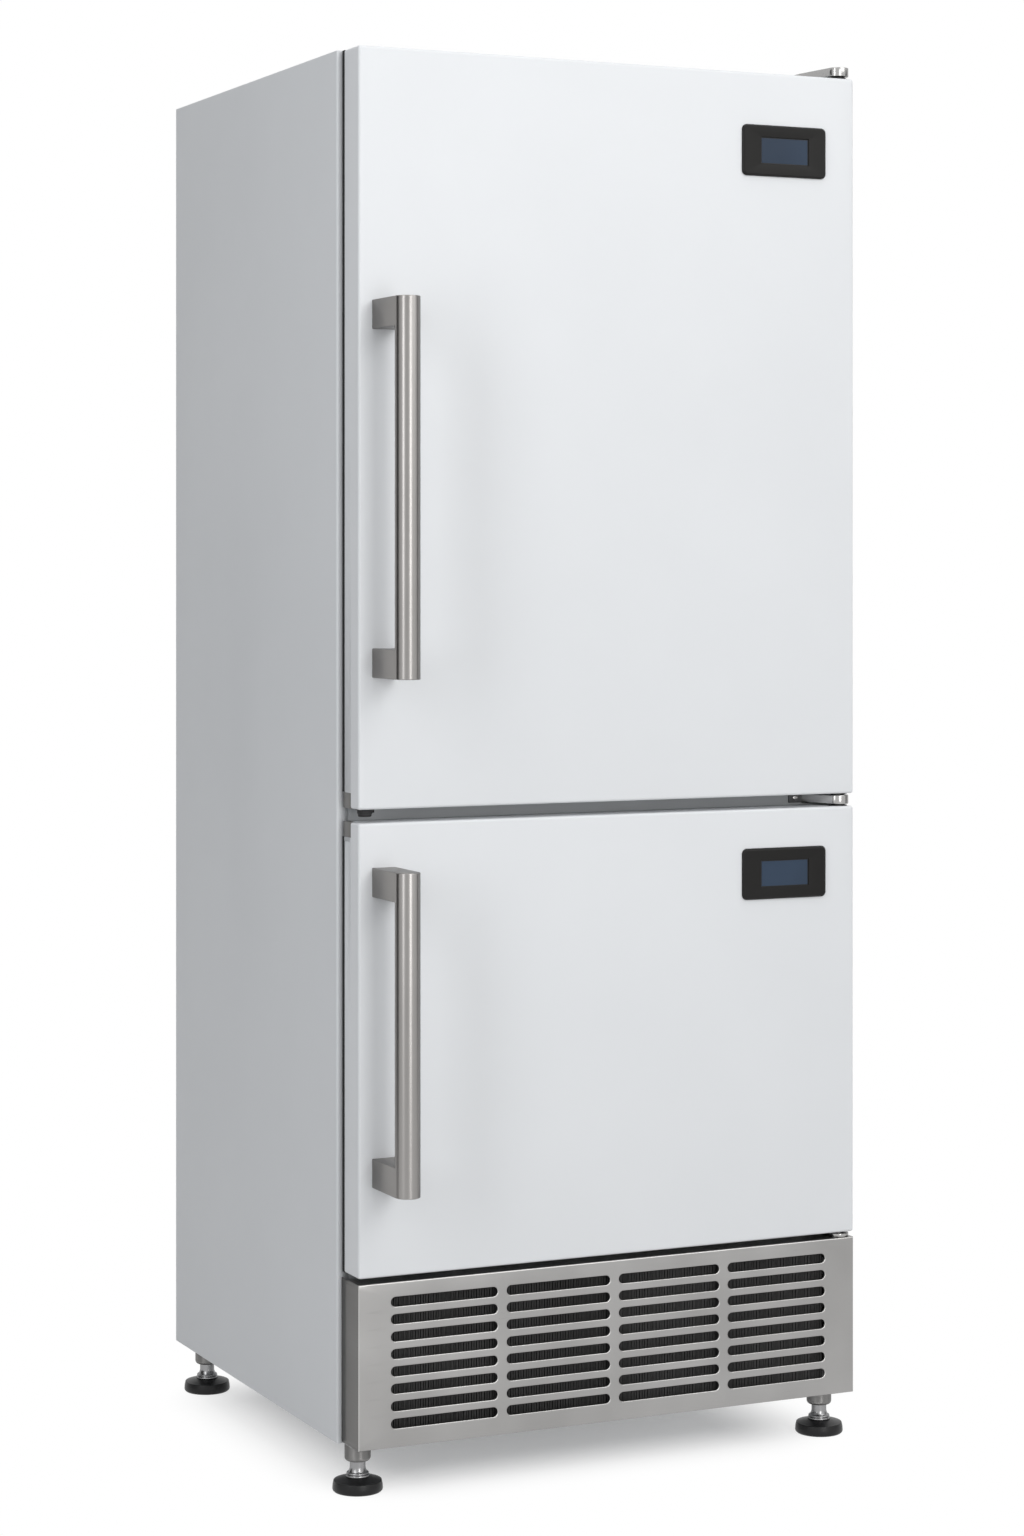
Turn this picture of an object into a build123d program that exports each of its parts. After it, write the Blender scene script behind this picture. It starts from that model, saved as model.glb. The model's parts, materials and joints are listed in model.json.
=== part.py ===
from build123d import *
import os
from math import cos, sin, sqrt, radians

# Laboratory refrigerator freezer: a fridge compartment above a freezer compartment, each with its own
# right-hinged door, on a stainless plinth grille and four levelling feet.
# Millimetres. +X is to the right of someone facing the doors, the doors face -Y, +Z is up.
# The origin is on the floor, under the centre of the whole object.

# Cabinet and doors
door_width = 720.0
side_overhang = 6.5  # how far the cabinet stands out past the doors on each side
cabinet_height = 1771.0
cabinet_lift = 62.0  # floor to the underside of the cabinet
cabinet_depth = 618.0
door_thickness = 47.0
gasket_gap = 10.0  # between the back of a door and the cabinet front
door_top_margin = 0.5
middle_gap = 17.0  # between the two doors
lower_door_height = 573.0
door_edge_radius = 3.5
sheet = 1.2  # cabinet and door steel
flange = 16.0  # folded edges of the cabinet panels
fold_radius = 3.0
frame_thickness = 8.0
side_wall = 61.5  # outer panel to the inside of a compartment
top_wall = 60.0
back_wall = 60.0
freezer_floor_wall = 54.5
mullion_height = 100.0
liner_sheet = 1.0

# Plinth
plinth_height = 209.0
plinth_lift = 2.5  # above the underside of the cabinet
plinth_gap = 7.3  # between the plinth and the lower door
plinth_sheet = 1.5
plinth_fold = 2.0
plinth_flange = 40.0
slot_columns = 4
slot_rows = 8
slot_length = 148.0
slot_height = 12.4
slot_column_gap = 13.0
slot_pitch = 22.0
slot_top_margin = 25.0  # plinth top to the middle of the first row
slot_end_flat_count = 4  # each round end is cut as this many short flats

# Handles
handle_diameter = 32.0
handle_standoff = 76.0  # door front to the middle of the tube
handle_inset = 34.5  # door's left edge to the middle of the tube
handle_post_height = 37.0
handle_chamfer = 0.8
upper_handle_length = 476.0
upper_handle_lift = 166.0  # above the bottom of the upper door
lower_handle_length = 403.0
lower_handle_lift = 114.0

# Displays
bezel_width = 127.0
bezel_height = 68.0
bezel_proud = 4.5
bezel_corner = 7.0
bezel_chamfer = 2.4
bezel_right_margin = 44.5
upper_bezel_drop = 69.5  # door top to the top of the bezel
lower_bezel_drop = 51.8
module_margin = 8.0  # bezel edge to the cut-out in the door
module_depth = 24.0
screen_width = 72.0
screen_height = 35.0
screen_recess = 1.8
screen_thickness = 2.0

# Hinges
pin_inset = 15.0  # door's right edge to the pin
pin_setback = 16.0  # door front to the pin
pin_radius = 5.0
pin_reach = 18.0  # how far a pin goes into a door
running_clearance = 0.05
arm_end_radius = 14.0
arm_splay = 9.0
arm_splay_depth = 64.0
arm_thickness = 12.0
top_arm_gap = 3.5  # door top to the arm above it
top_arm_length = 150.0  # pin to the back end of the arm on the cabinet top
bottom_arm_thickness = 4.5
hinge_flange_thickness = 3.0
hinge_drop = 36.0  # plinth top to the lower end of the bottom hinge's flange
hinge_flange_reach = 54.0  # from the pin to the left end of the flange
bush_wall = 3.0
bush_length = 20.0
bearing_gap = 0.5  # between a bush and the arm it turns on
plug_radius = 10.0
plug_drop = 9.8  # black plug in the spare hinge hole on the handle side
corner_block_width = 8.0
corner_block_depth = 26.0
corner_block_height = 19.5
corner_block_proud = 5.0  # behind the back of the door
corner_block_chamfer = 0.8

# Door inside
door_liner_sheet = 1.5
door_liner_margin = 6.0
plateau_clearance = 10.0  # compartment opening to the raised middle of the door liner
plateau_reach = 18.0  # behind the cabinet front
plateau_taper = 6.0  # degrees
dyke_width = 34.0
pocket_depth = 14.0
gasket_inset = 20.0  # door edge to the gasket
gasket_width = 16.0
gasket_neck = 7.0
gasket_base = 2.0
gasket_head = 4.0
contact_gap = 0.3  # parts of different bodies that meet at rest

# Shelves
fridge_shelf_count = 3
freezer_shelf_count = 2
shelf_front_setback = 30.0  # cabinet front to the shelf
shelf_back_gap = 8.0  # shelf to the evaporator covers
shelf_wire_count = 11
shelf_wire = 4.0
shelf_rail = 8.0
pilaster_thickness = 3.0
pilaster_width = 18.0
pilaster_margin = 30.0
pilaster_inset = 50.0  # from each end of a shelf
pilaster_slot_pitch = 190.0
pilaster_slot_width = 5.0
pilaster_slot_height = 12.0
clip_reach = 13.0
clip_height = 18.0
clip_sheet = 2.0
shelf_side_gap = 1.0

# Cooling
cover_width = 480.0
cover_height = 300.0
cover_depth = 75.0
cover_sheet = 1.5
cover_drop = 20.0  # compartment ceiling to the cover
cover_radius = 12.0
room_fan_radius = 70.0
fan_hub = 22.0
fan_depth = 22.0
fan_tip_gap = 4.0
ring_flat_count = 20  # sides of the opening around a fan
fan_blades = 5
blade_thickness = 2.2
blade_rooting = 3.0  # how far a blade reaches into the hub
blade_root_chord = 30.0
blade_tip_chord = 46.0
blade_pitch = 23.0  # degrees
fan_offset = 95.0  # cover top to the fan's middle
intake_slots = 7
intake_slot_width = 10.0
intake_slot_height = 70.0
intake_slot_pitch = 50.0
motor_radius = 19.0
motor_depth = 24.0
motor_shaft_radius = 4.0
motor_gap = 3.0  # between a fan and its motor
coil_fin = 2.0
coil_fin_depth = 6.0
end_plate = 3.0
evaporator_width = 380.0
evaporator_height = 100.0
evaporator_depth = 40.0
evaporator_fins = 12
condenser_depth = 34.0
condenser_setback = 12.0  # plinth front to the condenser
condenser_side_gap = 42.0  # door edge to the condenser
condenser_fins = 28
shroud_depth = 16.0
shroud_fan_radius = 74.0
port_bore_radius = 12.7
port_wall = 4.0
port_side_inset = 34.0  # compartment side to the port
port_drop = 110.0  # compartment ceiling to the port

# Machine compartment
pan_sheet = 2.5
pan_lip = 15.0
pan_front_setback = 30.0  # door front to the pan
pan_tongue_inset = 3.0
grommet_flat_count = 8
compressor_radius = 70.0
compressor_height = 150.0
compressor_dome = 46.0
dome_ring_count = 3
shell_flat_count = 16
compressor_spacing = 300.0
compressor_setback = 120.0  # cabinet back to the compressors
compressor_foot_width = 190.0
compressor_foot_depth = 120.0
compressor_foot_sheet = 4.0
grommet_radius = 11.0
grommet_height = 16.0
grommet_inset = 18.0
deck_gap = 4.0
rear_slot_columns = 2
rear_slot_rows = 6
rear_slot_length = 255.0
rear_slot_height = 8.0
rear_slot_pitch = 24.0
rear_slot_gap = 24.0
rear_slot_top_margin = 35.0
inlet_width = 50.0
inlet_height = 31.0
inlet_body_width = 30.0
inlet_body_height = 23.0
inlet_body_depth = 22.0
inlet_wall = 2.0
inlet_inset = 46.0  # cabinet's left side to the inlet's middle
inlet_drop = 105.0  # machine compartment ceiling to the inlet's middle
inlet_blade = 2.0
inlet_blade_height = 4.0
inlet_blade_length = 12.0
inlet_blade_pitch = 7.0

# Feet
foot_side_inset = 21.5  # door edge to the foot
foot_front_inset = 55.5  # door front to the foot
foot_back_inset = 54.5  # cabinet back to the foot
sleeve_radius = 16.75
sleeve_drop = 23.0  # underside of the cabinet to the end of the sleeve
sleeve_chamfer = 3.0
spindle_radius = 10.0
spindle_clearance = 0.3
spindle_height = 92.0
collar_radius = 15.0
collar_bottom = 18.5
collar_height = 6.5
pad_radius = 32.3
pad_rim_radius = 31.4
pad_rim_height = 14.4
pad_chamfer = 2.0
pad_flat_count = 24
foot_flat_count = 16

# Levels above the floor
cabinet_bottom = cabinet_lift
cabinet_top = cabinet_bottom + cabinet_height
plinth_bottom = cabinet_bottom + plinth_lift
plinth_top = plinth_bottom + plinth_height
lower_door_bottom = plinth_top + plinth_gap
lower_door_top = lower_door_bottom + lower_door_height
upper_door_bottom = lower_door_top + middle_gap
upper_door_top = cabinet_top - door_top_margin
mullion_middle = (lower_door_top + upper_door_bottom) / 2
fridge_floor = mullion_middle + mullion_height / 2
fridge_ceiling = cabinet_top - top_wall
frame_bottom = plinth_top - hinge_drop
freezer_floor = plinth_top + freezer_floor_wall
freezer_ceiling = mullion_middle - mullion_height / 2

# Widths and depths
cabinet_half = door_width / 2 + side_overhang
door_half = door_width / 2
room_half = cabinet_half - side_wall
handle_reach = handle_standoff + handle_diameter / 2
depth_behind_front = door_thickness + gasket_gap + cabinet_depth
door_front = handle_reach - (handle_reach + depth_behind_front) / 2
door_back = door_front + door_thickness
cabinet_front = door_back + gasket_gap
cabinet_back = cabinet_front + cabinet_depth
frame_back = cabinet_front + frame_thickness
back_panel_front = cabinet_back - 2 * sheet
room_back = cabinet_back - back_wall
cover_front = room_back - cover_depth
shelf_front = cabinet_front + shelf_front_setback
shelf_back = cover_front - shelf_back_gap
pin_x = door_half - pin_inset
pin_y = door_front + pin_setback
foot_x = door_half - foot_side_inset
foot_rows = (door_front + foot_front_inset, cabinet_back - foot_back_inset)

through = 10.0  # how far a cutting tool runs past the wall it cuts
hole_flat_count = 12  # sides of hidden clearance holes, hubs and bushes


def block(x0, x1, y0, y1, z0, z1):
    """A box between two corners."""
    return Pos((x0 + x1) / 2, (y0 + y1) / 2, (z0 + z1) / 2) * Box(x1 - x0, y1 - y0, z1 - z0)


def rod(axis, centre, start, end, radius):
    """A cylinder along X, Y or Z; centre gives its place in the other two directions."""
    middle = (start + end) / 2
    a, b = centre
    if axis == "X":
        return Pos(middle, a, b) * Rot(Y=90) * Cylinder(radius, end - start)
    if axis == "Y":
        return Pos(a, middle, b) * Rot(X=90) * Cylinder(radius, end - start)
    return Pos(a, b, middle) * Cylinder(radius, end - start)


def faceted(points, flats):
    """A solid about Z with flats around it, from its outside: pairs of corner radius and height."""
    rings = []
    for radius, height in points:
        angles = [radians(360 * i / flats) for i in range(flats)]
        rings.append([(radius * cos(angle), radius * sin(angle), height) for angle in angles])
    outlines = [rings[0], rings[-1]]
    for low, high in zip(rings, rings[1:]):
        for i in range(flats):
            outlines.append((low[i - 1], low[i], high[i], high[i - 1]))
    return Solid(Shell([Face(Wire.make_polygon(outline)) for outline in outlines]))


def prism(axis, centre, start, end, radius, flats):
    """A prism along Y or Z whose flats lie just outside a circle of the radius."""
    solid = extrude(RegularPolygon(radius, flats, major_radius=False), end - start)
    a, b = centre
    if axis == "Y":
        return Pos(a, end, b) * Rot(X=90) * solid
    return Pos(a, b, start) * solid


def round_ended_slot(length, height, x, z, y0, y1):
    """A cutting tool for a slot that runs sideways through a wall facing the front."""
    radius = height / 2
    reach = length / 2 - radius
    points = []
    for side in (1, -1):
        for i in range(slot_end_flat_count + 1):
            angle = radians(180 * i / slot_end_flat_count - 90)
            points.append((side * (reach + radius * cos(angle)), side * radius * sin(angle)))
    return Pos(x, y1, z) * Rot(X=90) * extrude(make_face(Polyline(*points, close=True)), y1 - y0)


def centred(count, pitch):
    """Places of a row of things about its middle."""
    return [(i - (count - 1) / 2) * pitch for i in range(count)]


def mirrored(piece):
    """The same piece on the other side of the cabinet."""
    return mirror(piece, Plane.YZ)


def save(name, *pieces):
    """Write one sub-part. Identical loose pieces share a file."""
    solids = [solid for piece in pieces for solid in piece.solids()]
    shape = solids[0] if len(solids) == 1 else Compound(solids)
    shape.label = name
    export_step(shape, f"parts/{name}.step")


# Cabinet
def side_panel():
    """Left side: a sheet with its front, top and back edges folded in."""
    x0 = -cabinet_half
    x1 = x0 + flange
    outer = block(x0, x1, cabinet_front, cabinet_back, cabinet_bottom, cabinet_top)
    upright = outer.edges().filter_by(Axis.Z).group_by(Axis.X)[0]
    outer = fillet(upright.sort_by(Axis.Y)[0], fold_radius)
    inner = block(
        x0 + sheet, x1 + through, cabinet_front + sheet, cabinet_back - sheet,
        cabinet_bottom - through, cabinet_top - sheet,
    )
    upright = inner.edges().filter_by(Axis.Z).group_by(Axis.X)[0]
    return outer - fillet(upright.sort_by(Axis.Y)[0], fold_radius - sheet)


def top_panel():
    """Top sheet between the side panels, folded down at the front and the back."""
    half = cabinet_half - flange
    outer = block(-half, half, cabinet_front, cabinet_back, cabinet_top - flange, cabinet_top)
    outer = fillet(outer.edges().filter_by(Axis.X).group_by(Axis.Z)[-1].sort_by(Axis.Y)[0], fold_radius)
    inner = block(
        -half - through, half + through, cabinet_front + sheet, cabinet_back - sheet,
        cabinet_top - flange - through, cabinet_top - sheet,
    )
    along = inner.edges().filter_by(Axis.X).group_by(Axis.Z)[-1]
    return outer - fillet(along.sort_by(Axis.Y)[0], fold_radius - sheet)


def port_place():
    """Middle of the cable port in the back of the fridge compartment."""
    return room_half - port_side_inset, fridge_ceiling - port_drop


def port_half():
    """Half of the cable port's width."""
    return port_bore_radius + port_wall


def port_block(front, back):
    """The square body of the cable port between two depths."""
    x, z = port_place()
    half = port_half()
    return block(x - half, x + half, front, back, z - half, z + half)


def back_panel():
    """Flat sheet inside the folded back edges, with the hole for the cable port."""
    half = cabinet_half - sheet
    plate = block(-half, half, back_panel_front, back_panel_front + sheet, plinth_top, cabinet_top - sheet)
    return plate - port_block(back_panel_front - through, cabinet_back)


def board(left, right, front, bottom, top):
    """One foam board, from a depth to the back panel."""
    return block(left, right, front, back_panel_front, bottom, top)


def insulation():
    """Foam boards that butt together around both liners and around the cable port."""
    half = cabinet_half - sheet
    inner = room_half + liner_sheet
    foam_top = cabinet_top - sheet
    wall = board(-half, -inner, frame_back, plinth_top, foam_top)
    levels = (
        (plinth_top, freezer_floor - liner_sheet),
        (freezer_ceiling + liner_sheet, fridge_floor - liner_sheet),
        (fridge_ceiling + liner_sheet, foam_top),
    )
    boards = [wall, mirrored(wall)]
    boards += [board(-inner, inner, frame_back, low, high) for low, high in levels]
    behind = room_back + liner_sheet
    low = freezer_floor - liner_sheet
    boards.append(board(-inner, inner, behind, low, freezer_ceiling + liner_sheet))
    x, z = port_place()
    reach = port_half()
    low = fridge_floor - liner_sheet
    high = fridge_ceiling + liner_sheet
    boards.append(board(-inner, inner, behind, low, z - reach))
    boards.append(board(-inner, inner, behind, z + reach, high))
    boards.append(board(-inner, x - reach, behind, z - reach, z + reach))
    boards.append(board(x + reach, inner, behind, z - reach, z + reach))
    return boards


def liner(floor, ceiling):
    """Smooth inner tub of a compartment, open to the front."""
    outer = block(
        -room_half - liner_sheet, room_half + liner_sheet, frame_back, room_back + liner_sheet,
        floor - liner_sheet, ceiling + liner_sheet,
    )
    return outer - block(-room_half, room_half, frame_back - through, room_back, floor, ceiling)


def fridge_liner():
    """The fridge tub also has the hole for the cable port."""
    return liner(fridge_floor, fridge_ceiling) - port_block(room_back - through, cabinet_back)


def front_frame():
    """Thermal break around both openings, with the mullion that the gaskets close on."""
    half = cabinet_half - flange
    plate = block(-half, half, cabinet_front, frame_back, frame_bottom, cabinet_top - flange)
    for floor, ceiling in ((fridge_floor, fridge_ceiling), (freezer_floor, freezer_ceiling)):
        plate -= block(
            -room_half, room_half, cabinet_front - through, frame_back + through, floor, ceiling,
        )
    return plate


# Plinth and base
def plinth_grille():
    """Stainless cover under the doors: a folded pan with rows of round-ended air slots."""
    cover = block(-door_half, door_half, door_front, cabinet_front, plinth_bottom, plinth_top)
    cover = fillet(cover.edges().group_by(Axis.Y)[0], plinth_fold)
    cover -= block(
        -door_half + plinth_sheet, door_half - plinth_sheet, door_front + plinth_sheet,
        cabinet_front + through, plinth_bottom - through, plinth_top - plinth_sheet,
    )
    cover -= block(
        -door_half - through, door_half + through, door_front + plinth_flange,
        cabinet_front + through, plinth_top - plinth_sheet, plinth_top + through,
    )
    slots = []
    for row in range(slot_rows):
        z = plinth_top - slot_top_margin - row * slot_pitch
        for x in centred(slot_columns, slot_length + slot_column_gap):
            slots.append(
                round_ended_slot(
                    slot_length, slot_height, x, z, door_front - through, door_front + through,
                )
            )
    return cover - slots


def base_pan():
    """Floor of the machine compartment, with a tongue and lip inside the plinth.

    It is narrower where it passes between the folded front edges of the side panels.
    """
    half = cabinet_half - sheet
    tongue = door_half - pan_tongue_inset
    front = door_front + pan_front_setback
    top = cabinet_bottom + pan_sheet
    neck = cabinet_half - flange
    folds = cabinet_front + fold_radius
    pan = block(-half, half, folds, back_panel_front, cabinet_bottom, top)
    pan += block(-neck, neck, cabinet_front, folds, cabinet_bottom, top)
    pan += block(-tongue, tongue, front, cabinet_front, cabinet_bottom, top)
    lip_half = door_half - condenser_side_gap
    lip_back = shroud_front() + shroud_depth
    pan += block(-lip_half, lip_half, lip_back - pan_sheet, lip_back, cabinet_bottom, top + pan_lip)
    for x in (-foot_x, foot_x):
        for y in foot_rows:
            pan -= prism(
                "Z", (x, y), cabinet_bottom - through, top + through,
                spindle_radius + spindle_clearance, hole_flat_count,
            )
    return pan


def leg_sleeve(x, y):
    """Threaded stainless socket under a corner of the base pan."""
    bottom = cabinet_bottom - sleeve_drop
    section = (
        (sleeve_radius - sleeve_chamfer, bottom),
        (sleeve_radius, bottom + sleeve_chamfer),
        (sleeve_radius, cabinet_bottom),
    )
    sleeve = Pos(x, y, 0) * faceted(section, foot_flat_count)
    bore = spindle_radius + spindle_clearance
    return sleeve - prism(
        "Z", (x, y), bottom - through, cabinet_bottom + through, bore, foot_flat_count,
    )


def foot_spindle(x, y):
    """Screw of a levelling foot, with its collar standing on the pad."""
    collar_top = collar_bottom + collar_height
    collar = ((collar_radius, collar_bottom), (collar_radius, collar_top))
    shank = ((spindle_radius, collar_top), (spindle_radius, spindle_height))
    return Pos(x, y, 0) * (faceted(collar, foot_flat_count) + faceted(shank, foot_flat_count))


def foot_pad(x, y):
    """Rubber pad that rises from its rim to the collar."""
    section = (
        (pad_radius - pad_chamfer, 0),
        (pad_radius, pad_chamfer),
        (pad_rim_radius, pad_rim_height),
        (collar_radius, collar_bottom),
    )
    return Pos(x, y, 0) * faceted(section, pad_flat_count)


# Hinges
def hinge_arm(bottom, thickness, back):
    """Arm in plan: round about the pin, wider towards the cabinet."""
    left = pin_x - arm_end_radius
    right = pin_x + arm_end_radius
    far = back + arm_splay_depth
    outline = make_face(
        Polyline(
            (left, pin_y),
            (left - arm_splay, pin_y + arm_splay_depth),
            (left - arm_splay, far),
            (right, far),
            (right, pin_y),
            close=True,
        )
    )
    outline += Pos(pin_x, pin_y) * Circle(arm_end_radius)
    arm = Pos(0, 0, bottom) * extrude(outline, thickness)
    return arm & block(left - arm_splay, right, pin_y - arm_end_radius, back, bottom, bottom + thickness)


def pin(bottom, top):
    """Hinge pin."""
    return rod("Z", (pin_x, pin_y), bottom, top, pin_radius)


def top_hinge():
    """Polished arm above the upper door, on a pad on the cabinet top."""
    bottom = upper_door_top + top_arm_gap
    back = pin_y + top_arm_length
    foot = block(
        pin_x - arm_end_radius - arm_splay, pin_x + arm_end_radius, cabinet_front + 2 * fold_radius,
        back, cabinet_top, bottom,
    )
    return hinge_arm(bottom, arm_thickness, back) + foot + pin(upper_door_top - pin_reach, bottom)


def middle_hinge():
    """Arm between the doors; its pin carries the upper door and steadies the lower one."""
    bottom = mullion_middle - arm_thickness / 2
    arm = hinge_arm(bottom, arm_thickness, cabinet_front)
    plate = block(
        pin_x - hinge_flange_reach, pin_x + arm_end_radius - hinge_flange_thickness,
        cabinet_front - hinge_flange_thickness, cabinet_front, bottom, bottom + arm_thickness,
    )
    return arm + plate + pin(lower_door_top - pin_reach, upper_door_bottom + pin_reach)


def bottom_hinge():
    """Thin arm between the plinth and the lower door, folded down behind the plinth."""
    arm_top = lower_door_bottom - bottom_bush_reach() - bearing_gap
    bottom = arm_top - bottom_arm_thickness
    arm = hinge_arm(bottom, bottom_arm_thickness, cabinet_front)
    plate = block(
        pin_x - hinge_flange_reach, pin_x + side_overhang - flange / 2,
        cabinet_front - hinge_flange_thickness, cabinet_front, frame_bottom, arm_top,
    )
    return arm + plate + pin(arm_top, lower_door_bottom + pin_reach)


def bottom_bush_reach():
    """How far the lowest bush stands out of its door towards the bottom arm."""
    return (plinth_gap - bottom_arm_thickness) / 2 - bearing_gap


def bush_body(x, z0, z1):
    """Outside of a bush, or the hole that it sits in."""
    return prism("Z", (x, pin_y), z0, z1, pin_radius + running_clearance + bush_wall, hole_flat_count)


def bush(face, direction, reach):
    """Plastic bush: it goes into a door at face, along direction, and stands out by reach."""
    inside = face + direction * bush_length
    end = face - direction * reach
    bottom = min(end, inside)
    top = max(end, inside)
    bore = rod("Z", (pin_x, pin_y), bottom - through, top + through, pin_radius + running_clearance)
    return bush_body(pin_x, bottom, top) - bore


def spare_hole_plug():
    """Stepped plug in the upper door's unused hinge hole, on the handle side."""
    plug = bush_body(-pin_x, upper_door_bottom, upper_door_bottom + bush_length)
    plug += prism(
        "Z", (-pin_x, pin_y), upper_door_bottom - plug_drop, upper_door_bottom, plug_radius,
        hole_flat_count,
    )
    step = block(
        -pin_x, -pin_x + plug_radius + bush_wall, pin_y - bush_wall, pin_y + bush_wall,
        upper_door_bottom - plug_drop / 2, upper_door_bottom,
    )
    return plug + step


# Doors
def door_skin(bottom, top, bezel_drop, block_at_bottom):
    """Steel pan of a door: rounded front, folded back edges and every cut-out."""
    body = block(-door_half, door_half, door_front, door_back, bottom, top)
    body = fillet(body.edges().group_by(Axis.Y)[0], door_edge_radius)
    body -= block(
        -door_half + sheet, door_half - sheet, door_front + sheet, door_back - sheet,
        bottom + sheet, top - sheet,
    )
    body -= block(
        -door_half + flange, door_half - flange, door_back - sheet - through, door_back + through,
        bottom + flange, top - flange,
    )
    body -= corner_block_space(bottom, top, block_at_bottom)
    body -= bush_body(pin_x, bottom - through, bottom + through)
    body -= bush_body(pin_x, top - through, top + through)
    if block_at_bottom:
        body -= bush_body(-pin_x, bottom - through, bottom + through)
    x, z = bezel_place(top, bezel_drop)
    width = bezel_width / 2 - module_margin
    height = bezel_height / 2 - module_margin
    return body - block(
        x - width, x + width, door_front - through, door_front + through, z - height, z + height,
    )


def corner_block_space(bottom, top, at_bottom):
    """Corner block with square edges, as the door is cut for it."""
    back = door_back + corner_block_proud
    z = bottom if at_bottom else top - corner_block_height
    return block(
        -door_half, -door_half + corner_block_width, back - corner_block_depth, back,
        z, z + corner_block_height,
    )


def corner_block(bottom, top, at_bottom):
    """Stainless block let into the door's back corner on the handle side."""
    piece = corner_block_space(bottom, top, at_bottom)
    return chamfer(piece.edges().group_by(Axis.Y)[-1], corner_block_chamfer)


def room_of(bottom):
    """Floor and ceiling of the compartment that a door closes."""
    if bottom < mullion_middle:
        return freezer_floor, freezer_ceiling
    return fridge_floor, fridge_ceiling


def tapered(half, y0, y1, z0, z1, taper):
    """A block that narrows from y0 to y1."""
    outline = Rectangle(2 * half, z1 - z0)
    return Pos(0, y0, (z0 + z1) / 2) * Rot(X=-90) * extrude(outline, y1 - y0, taper=taper)


def door_liner(bottom, top):
    """Formed inner panel: a flat rim, and a hollow raised frame around a shallow middle."""
    floor, ceiling = room_of(bottom)
    half = room_half - plateau_clearance
    z0 = floor + plateau_clearance
    z1 = ceiling - plateau_clearance
    face = door_back + door_liner_sheet
    peak = cabinet_front + plateau_reach
    pocket = peak - pocket_depth
    wall = door_liner_sheet
    edge = door_liner_margin
    panel = block(-door_half + edge, door_half - edge, door_back, face, bottom + edge, top - edge)
    panel -= corner_block_space(bottom, top, bottom > mullion_middle)
    panel += tapered(half, face, peak, z0, z1, plateau_taper)
    panel -= tapered(
        half - dyke_width, peak + wall, pocket, z0 + dyke_width, z1 - dyke_width, 0,
    )
    hollow = tapered(half - wall, door_back, peak - wall, z0 + wall, z1 - wall, plateau_taper)
    hollow -= tapered(
        half - dyke_width + wall, peak, pocket - wall, z0 + dyke_width - wall,
        z1 - dyke_width + wall, 0,
    )
    return panel - hollow


def ring(half, inner_half, y0, y1, z0, z1, width):
    """A flat rectangular frame, one layer of the gasket."""
    outer = block(-half, half, y0, y1, z0, z1)
    return outer - block(-inner_half, inner_half, y0 - through, y1 + through, z0 + width, z1 - width)


def gasket(bottom, top):
    """Magnetic gasket: a wide base, a narrow neck and a wide sealing head."""
    y0 = door_back + door_liner_sheet
    y3 = cabinet_front - contact_gap
    y1 = y0 + gasket_base
    y2 = y3 - gasket_head
    step = (gasket_width - gasket_neck) / 2
    half = door_half - gasket_inset
    z0 = bottom + gasket_inset
    z1 = top - gasket_inset
    body = ring(half, half - gasket_width, y0, y1, z0, z1, gasket_width)
    body += ring(half, half - gasket_width, y2, y3, z0, z1, gasket_width)
    return body + ring(
        half - step, half - step - gasket_neck, y1, y2, z0 + step, z1 - step, gasket_neck,
    )


def bezel_place(top, drop):
    """Middle of a display on its door."""
    return door_half - bezel_right_margin - bezel_width / 2, top - drop - bezel_height / 2


def display_bezel(top, drop):
    """Charcoal display housing: a bevelled frame in front of the door and a body behind it."""
    x, z = bezel_place(top, drop)
    front = door_front - bezel_proud
    body = block(
        x - bezel_width / 2, x + bezel_width / 2, front, door_front,
        z - bezel_height / 2, z + bezel_height / 2,
    )
    body = fillet(body.edges().filter_by(Axis.Y), bezel_corner)
    body = chamfer(body.edges().group_by(Axis.Y)[0], bezel_chamfer)
    width = bezel_width / 2 - module_margin
    height = bezel_height / 2 - module_margin
    body += block(
        x - width, x + width, door_front, door_front + module_depth, z - height, z + height,
    )
    return body - block(
        x - screen_width / 2, x + screen_width / 2, front - through,
        front + screen_recess + screen_thickness, z - screen_height / 2, z + screen_height / 2,
    )


def display_screen(top, drop):
    """Dark window set back in the bezel."""
    x, z = bezel_place(top, drop)
    face = door_front - bezel_proud + screen_recess
    return block(
        x - screen_width / 2, x + screen_width / 2, face, face + screen_thickness,
        z - screen_height / 2, z + screen_height / 2,
    )


def handle(bottom, length):
    """Tube handle; each end is a square post whose sides run tangent to the tube."""
    radius = handle_diameter / 2
    x = -door_half + handle_inset
    y = door_front - handle_standoff
    top = bottom + length
    bar = rod("Z", (x, y), bottom, top, radius)
    for z0 in (bottom, top - handle_post_height):
        post = block(x - radius, x + radius, y, door_front, z0, z0 + handle_post_height)
        bar += chamfer(post.edges().filter_by(Axis.Y), handle_chamfer)
    return bar


# Shelves
def shelf_levels(floor, ceiling, count):
    """Heights of evenly spaced shelves."""
    return [floor + (ceiling - floor) * (i + 1) / (count + 1) for i in range(count)]


def shelf_half():
    """Half of a shelf's width, between the pilasters."""
    return room_half - pilaster_thickness - shelf_side_gap


def wire_shelf():
    """Wire shelf standing on Z = 0: a rail all round with wires from front to back."""
    half = shelf_half()
    inner = half - shelf_rail
    shelf = block(-half, half, shelf_front, shelf_back, 0, shelf_rail)
    shelf -= block(
        -inner, inner, shelf_front + shelf_rail, shelf_back - shelf_rail, -through, through,
    )
    wires = []
    for x in centred(shelf_wire_count, 2 * inner / shelf_wire_count):
        wires.append(
            block(
                x - shelf_wire / 2, x + shelf_wire / 2, shelf_front + shelf_rail,
                shelf_back - shelf_rail, shelf_rail - shelf_wire, shelf_rail,
            )
        )
    return shelf.fuse(*wires)


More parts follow.
